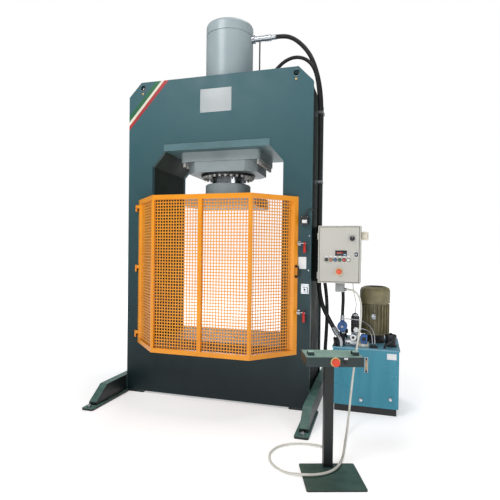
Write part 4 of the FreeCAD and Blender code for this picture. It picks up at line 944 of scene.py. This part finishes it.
def gauge_details():
    """Level gauge: its plate, glass tube, two guard strips and two hollow screws."""
    piece = Piece("gauge_body", "press", "bright_steel", WHITE)
    x, back, front = 1.528, -0.3090, -0.3195
    piece.block((1.512, -0.3095, 0.397), (1.544, TANK_FACE, 0.543), 0.003)
    piece.rod((x, -0.314, 0.423), (x, -0.314, 0.517), 0.0065, 0, AMBER, 20)
    piece.block((1.517, front, 0.421), (1.5205, back, 0.519), 0.001, STEEL)
    piece.block((1.5355, front, 0.421), (1.539, back, 0.519), 0.001, STEEL)
    for z in (0.410, 0.530):
        piece.rod((x, back, z), (x, front, z), 0.0115, 0.001, DARK, HEX)
    piece.done("level_gauge")


def tank_details():
    """Blank label, plugs, breather, filter with its pipe, lifting eyes and the lid's screws."""
    piece = Piece("tank_details", "press", "tank_paint", WHITE)
    piece.block((1.716, TANK_FACE - 0.001, 0.536), (1.802, TANK_FACE, 0.592), 0.0004)
    boss, plug = TANK_FACE - 0.010, TANK_FACE - 0.022
    for x, z in ((1.482, 0.130), (1.752, 0.160)):
        piece.rod((x, TANK_FACE, z), (x, boss, z), 0.017, 0.001, STEEL)
        piece.rod((x, boss, z), (x, plug, z), 0.012, 0.002, WHITE, HEX)
    long_sides = [(x, y) for x in (1.228, 1.420, 1.616, 1.808) for y in (-0.288, 0.316)]
    short_sides = [(x, y) for y in (-0.10, 0.12) for x in (1.222, 1.814)]
    for x, y in long_sides + short_sides:
        piece.screw((x, y, LID_TOP), UP, 0.007, STEEL, 0.005)
    breather = [(0, 0), (0.030, 0), (0.030, 0.012), (0.022, 0.016), (0.022, 0.040), (0.036, 0.044),
                (0.036, 0.078), (0.030, 0.086), (0, 0.088)]
    piece.turned(breather, (1.285, 0.235, LID_TOP), finish=BLACK)
    x, y = 1.752, -0.110
    oil_filter = [(0, 0), (0.058, 0), (0.058, 0.010), (0.050, 0.014), (0.050, 0.086), (0.056, 0.090),
                  (0.056, 0.108), (0.046, 0.116), (0, 0.118)]
    piece.turned(oil_filter, (x, y, LID_TOP), finish=DARK)
    piece.rod((x, y, 0.742), (x, y, 0.756), 0.014, 0.002, BLACK, HEX)
    piece.pipe([(x, -0.160, 0.690), (x, -0.215, 0.690), (1.735, -0.238, 0.680), (1.700, LINE, 0.655),
                (1.690, LINE, 0.627)], 0.010, BLACK)
    for x, y in ((1.235, -0.200), (1.235, 0.100), (1.795, 0.280)):
        piece.ring(0.014, 0.0035, (x, y, LID_TOP + 0.022), ACROSS, STEEL, 24)
        piece.rod((x, y, LID_TOP), (x, y, LID_TOP + 0.008), 0.010, 0.001, STEEL)
    piece.done()


def manifold_details():
    """The valve blocks with their screws, plugs and a blank plate."""
    piece = Piece("manifold", "press", "valve_block", BLOCK)
    deck = 0.688
    piece.block((1.318, LINE, LID_TOP), (1.446, -0.120, deck), 0.003, STEEL)
    piece.block((1.376, -0.200, deck), (1.446, -0.130, 0.754), 0.003, STEEL)
    piece.block((1.452, -0.250, LID_TOP), (1.546, -0.130, 0.660), 0.003)
    piece.block((1.480, -0.2508, 0.636), (1.512, -0.250, 0.652), 0.0003, WHITE)
    for x in (1.330, 1.362):
        for y in (-0.226, -0.136):
            piece.screw((x, y, deck), UP, 0.006, DARK, 0.006)
    for x in (1.334, 1.358):
        piece.rod((x, LINE, 0.655), (x, -0.246, 0.655), 0.010, 0.001, DARK, HEX)
    piece.done("valve_manifold")


def solenoid_details():
    """Two blue coils with their caps and plug, and the tall ribbed stack behind them."""
    piece = Piece("solenoids", "press", "valve_blue", VALVE)
    x, z, cap = 1.400, 0.720, -0.282
    piece.rod((x, cap, z), (x, -0.2005, z), 0.027, 0.002)
    rim = [(0.014, 0), (0.014, 0.003), (0.028, 0.003), (0.030, 0.0015), (0.030, 0), (0.014, 0)]
    piece.turned(rim, (x, cap, z), FRONT, WHITE)
    piece.rod((x, cap - 0.0005, z), (x, cap - 0.0018, z), 0.0138, 0.0004, DARK)
    piece.block((1.470, -0.258, 0.662), (1.532, -0.202, 0.748), 0.006)
    piece.rod((1.501, -0.230, 0.748), (1.501, -0.230, 0.762), 0.013, 0.002, STEEL, HEX)
    piece.block((1.484, -0.270, 0.690), (1.518, -0.258, 0.724), 0.003, BLACK)
    x, y = 1.411, -0.165
    for i in range(7):
        z = 0.756 + 0.0225 * i
        piece.rod((x, y, z), (x, y, z + 0.019), 0.041, 0.003, BLACK, 32)
        piece.rod((x, y, z + 0.018), (x, y, z + 0.024), 0.036, 0, BLACK, 24)
    piece.rod((x, y, 0.914), (x, y, 0.936), 0.030, 0.002, STEEL, 24)
    piece.rod((x, y, 0.936), (x, y, 0.944), 0.014, 0.001, BLACK, 20)
    piece.done("solenoid_valves")


def dial_details():
    """Pressure gauge with nine ticks and a pointer low on its scale."""
    piece = Piece("dial", "press", "bright_steel", STEEL)
    x, back, z = 1.427, -0.254, 0.795
    case = [(0, 0), (0.027, 0), (0.027, 0.024), (0.0255, 0.026), (0.0235, 0.026), (0.0235, 0.0225),
            (0, 0.0225)]
    piece.turned(case, (x, back, z), FRONT)
    piece.rod((x, -0.2764, z), (x, -0.2770, z), 0.0232, 0, WHITE)
    for i in range(9):
        turn = Matrix.Rotation(math.radians(-135 + 270 / 8 * i), 4, "Y")
        piece.block((-0.0006, -0.0002, 0.0165), (0.0006, 0.0002, 0.0215), 0, BLACK,
                    place=Matrix.Translation((x, -0.2772, z)) @ turn)
    turn = Matrix.Rotation(math.radians(-100), 4, "Y")
    piece.block((-0.0007, -0.0003, -0.004), (0.0007, 0.0003, 0.0175), 0, BLACK,
                place=Matrix.Translation((x, -0.2776, z)) @ turn)
    piece.rod((x, back, z), (x, -0.206, z), 0.006, 0.0005, sides=12)
    piece.done("pressure_gauge")


def valve_lines():
    """Rings and foot of the round valve, two thin bent lines, and two black elbows on the lid."""
    piece = Piece("valve_rings", "press", "valve_blue", VALVE)
    x, z, foot = 1.290, 0.812, -0.200
    for radius in (0.041, 0.030):
        piece.ring(radius, 0.0026, (x, -0.2352, z), BACK)
    piece.rod((x, -0.235, z), (x, -0.245, z), 0.014, 0.002, STEEL, HEX)
    piece.rod((x, foot, 0.628), (x, foot, 0.740), 0.0245, 0.001, DARK)
    piece.rod((x, foot, 0.740), (x, foot, 0.756), 0.031, 0.002, STEEL, HEX)
    thin, near, far = 0.0045, 1.580, 1.603
    piece.pipe([(1.318, -0.200, 0.885), (1.400, -0.236, 0.892), (1.500, LINE, 0.876), (1.572, LINE, 0.820),
                (far, LINE, 0.740), (far, LINE, 0.660)], thin, STEEL)
    piece.pipe([(1.455, -0.236, 0.800), (1.520, -0.244, 0.802), (1.566, -0.244, 0.766), (near, LINE, 0.710),
                (near, LINE, 0.655)], thin, STEEL)
    for x in (near, far):
        piece.nut((x, LINE, LID_TOP), UP, 0.011, 0.034, DARK)
    piece.block((1.555, -0.262, LID_TOP), (1.630, -0.215, 0.640), 0.002, DARK)
    for x, y in ((1.226, -0.288), (1.250, -0.262)):
        piece.nut((x, y, LID_TOP), UP, 0.015, 0.018, DARK)
        elbow = ((0, 0, 0.640), (0, 0, 0.672), (-0.006, 0.010, 0.690), (-0.010, 0.030, 0.698),
                 (-0.010, 0.110, 0.690), (-0.008, 0.140, 0.668), (-0.008, 0.146, 0.628))
        piece.pipe([(x + right, y + behind, z) for right, behind, z in elbow], 0.010, BLACK)
    piece.done()


def motor_details():
    """Rating plate left blank, terminal box at the back, cowl grille and foot screws."""
    piece = Piece("motor_details", "press", "motor_paint", MOTOR)
    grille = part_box("motor_cowl")[1].z + 0.0002
    piece.block((1.566, -0.0515, 0.872), (1.606, -0.0475, 0.926), 0.0008, STEEL)
    piece.block((1.545, 0.235, 0.800), (1.645, 0.312, 0.905), 0.005)
    for x in (1.553, 1.637):
        for z in (0.808, 0.897):
            piece.screw((x, 0.312, z), BACK, 0.004, STEEL, 0.002)
    piece.rod((MOTOR_X, 0.275, 0.775), (MOTOR_X, 0.275, 0.800), 0.014, 0.002, DARK, HEX)
    for place in round_places(8, 0.108, 0.638, 0.5, MOTOR_X, MOTOR_Y):
        piece.screw(place, UP, 0.006, STEEL, 0.006)
    for radius in (0.030, 0.050, 0.070, 0.090):
        piece.ring(radius, 0.0022, (MOTOR_X, MOTOR_Y, grille), finish=DARK)
    for i in range(8):
        turn = Matrix.Translation((MOTOR_X, MOTOR_Y, grille)) @ Matrix.Rotation(math.tau * i / 8, 4, "Z")
        piece.block((0.022, -0.0018, -0.001), (0.098, 0.0018, 0.0014), 0, DARK, place=turn)
    piece.done()


gauge_details()
tank_details()
manifold_details()
solenoid_details()
dial_details()
valve_lines()
motor_details()


# ---------------------------------------------------------------- the console's details


def console_details():
    """Collars and legend of the front controls, screws of the lid and welds of the column's foot."""
    piece = Piece("console_details", "press", "console_paint", YELLOW)
    piece.spot = Matrix.Translation((1.335, -1.597, 0)) @ Matrix.Rotation(math.radians(18), 4, "Z")
    front, row, stop, selector = 0.0230, 0.7885, 0.022, 0.095
    collar(piece, 0.0096, 0.0332, front, 0.0190, stop, row)
    piece.block((0.082, 0.0222, 0.8060), (0.108, front, 0.8190), 0.0003, WHITE)
    collar(piece, 0.0085, 0.0185, front, 0.0214, selector, row, BLACK)
    for x in (-0.170, 0.210):
        for y in (0.034, 0.240):
            piece.screw((x, y, 0.822), UP, 0.004, STEEL, 0.002)
    side, near, far, base = 0.033, 0.110, 0.166, 0.0105
    for y in (near, far):
        piece.weld((-side, y, base), (side, y, base), 0.004, WELD)
    for x in (-side, side):
        piece.weld((x, near, base), (x, far, base), 0.004, WELD)
    piece.done()


console_details()


# ---------------------------------------------------------------- ferrules at the hoses' ends


def ferrules():
    """Crimped sleeves, ridged along their length, at both ends of each hose."""
    piece = Piece("ferrules", "press", "bright_steel", STEEL)
    for start, way, radius, length in ((MAIN_HOSE[0], ACROSS, 0.0265, 0.060),
                                       (RETURN_HOSE[0], (1, -0.08, 1), 0.0215, 0.055),
                                       (MAIN_HOSE[-1], (-0.098, 0.036, 0.148), 0.0265, 0.070),
                                       (RETURN_HOSE[-1], UP, 0.0215, 0.055),
                                       (PILOT_HOSE[0], (1, -0.13, -0.07), 0.0195, 0.045),
                                       (PILOT_HOSE[-1], UP, 0.0195, 0.045)):
        outline = [(0, -0.004), (radius * 1.08, -0.004), (radius * 1.08, 0.010), (radius, 0.012)]
        outline += [(radius * (0.97 if i % 2 else 1.0), 0.014 + (length - 0.016) * i / 8) for i in range(9)]
        outline += [(0, length)]
        piece.turned(outline, start, way)
    piece.done()


ferrules()


# ---------------------------------------------------------------- cords


def conduit_ribs():
    """The rings of the corrugated conduit, one after another along its line."""
    piece = Piece("conduit_ribs", "press", "conduit_grey", CONDUIT)
    for place, way in centre_line(CONSOLE_CONDUIT, 0.0085)[1:-1]:
        shape = bmesh.new()
        bmesh.ops.create_cone(shape, cap_ends=False, segments=12, radius1=0.0088, radius2=0.0099,
                              depth=0.0042)
        piece.join(shape, place=aimed(place, way))
    return piece.done()


lay_cord("main_hose", MAIN_HOSE, 0.045, HOSE)
lay_cord("return_hose", RETURN_HOSE, 0.036, HOSE)
lay_cord("pilot_hose", PILOT_HOSE, 0.032, HOSE)
lay_cord("console_conduit", CONSOLE_CONDUIT, 0.019, CONDUIT,
         [conduit_ribs()])
lay_cord("valve_cable", VALVE_CABLE, 0.009, CABLE)
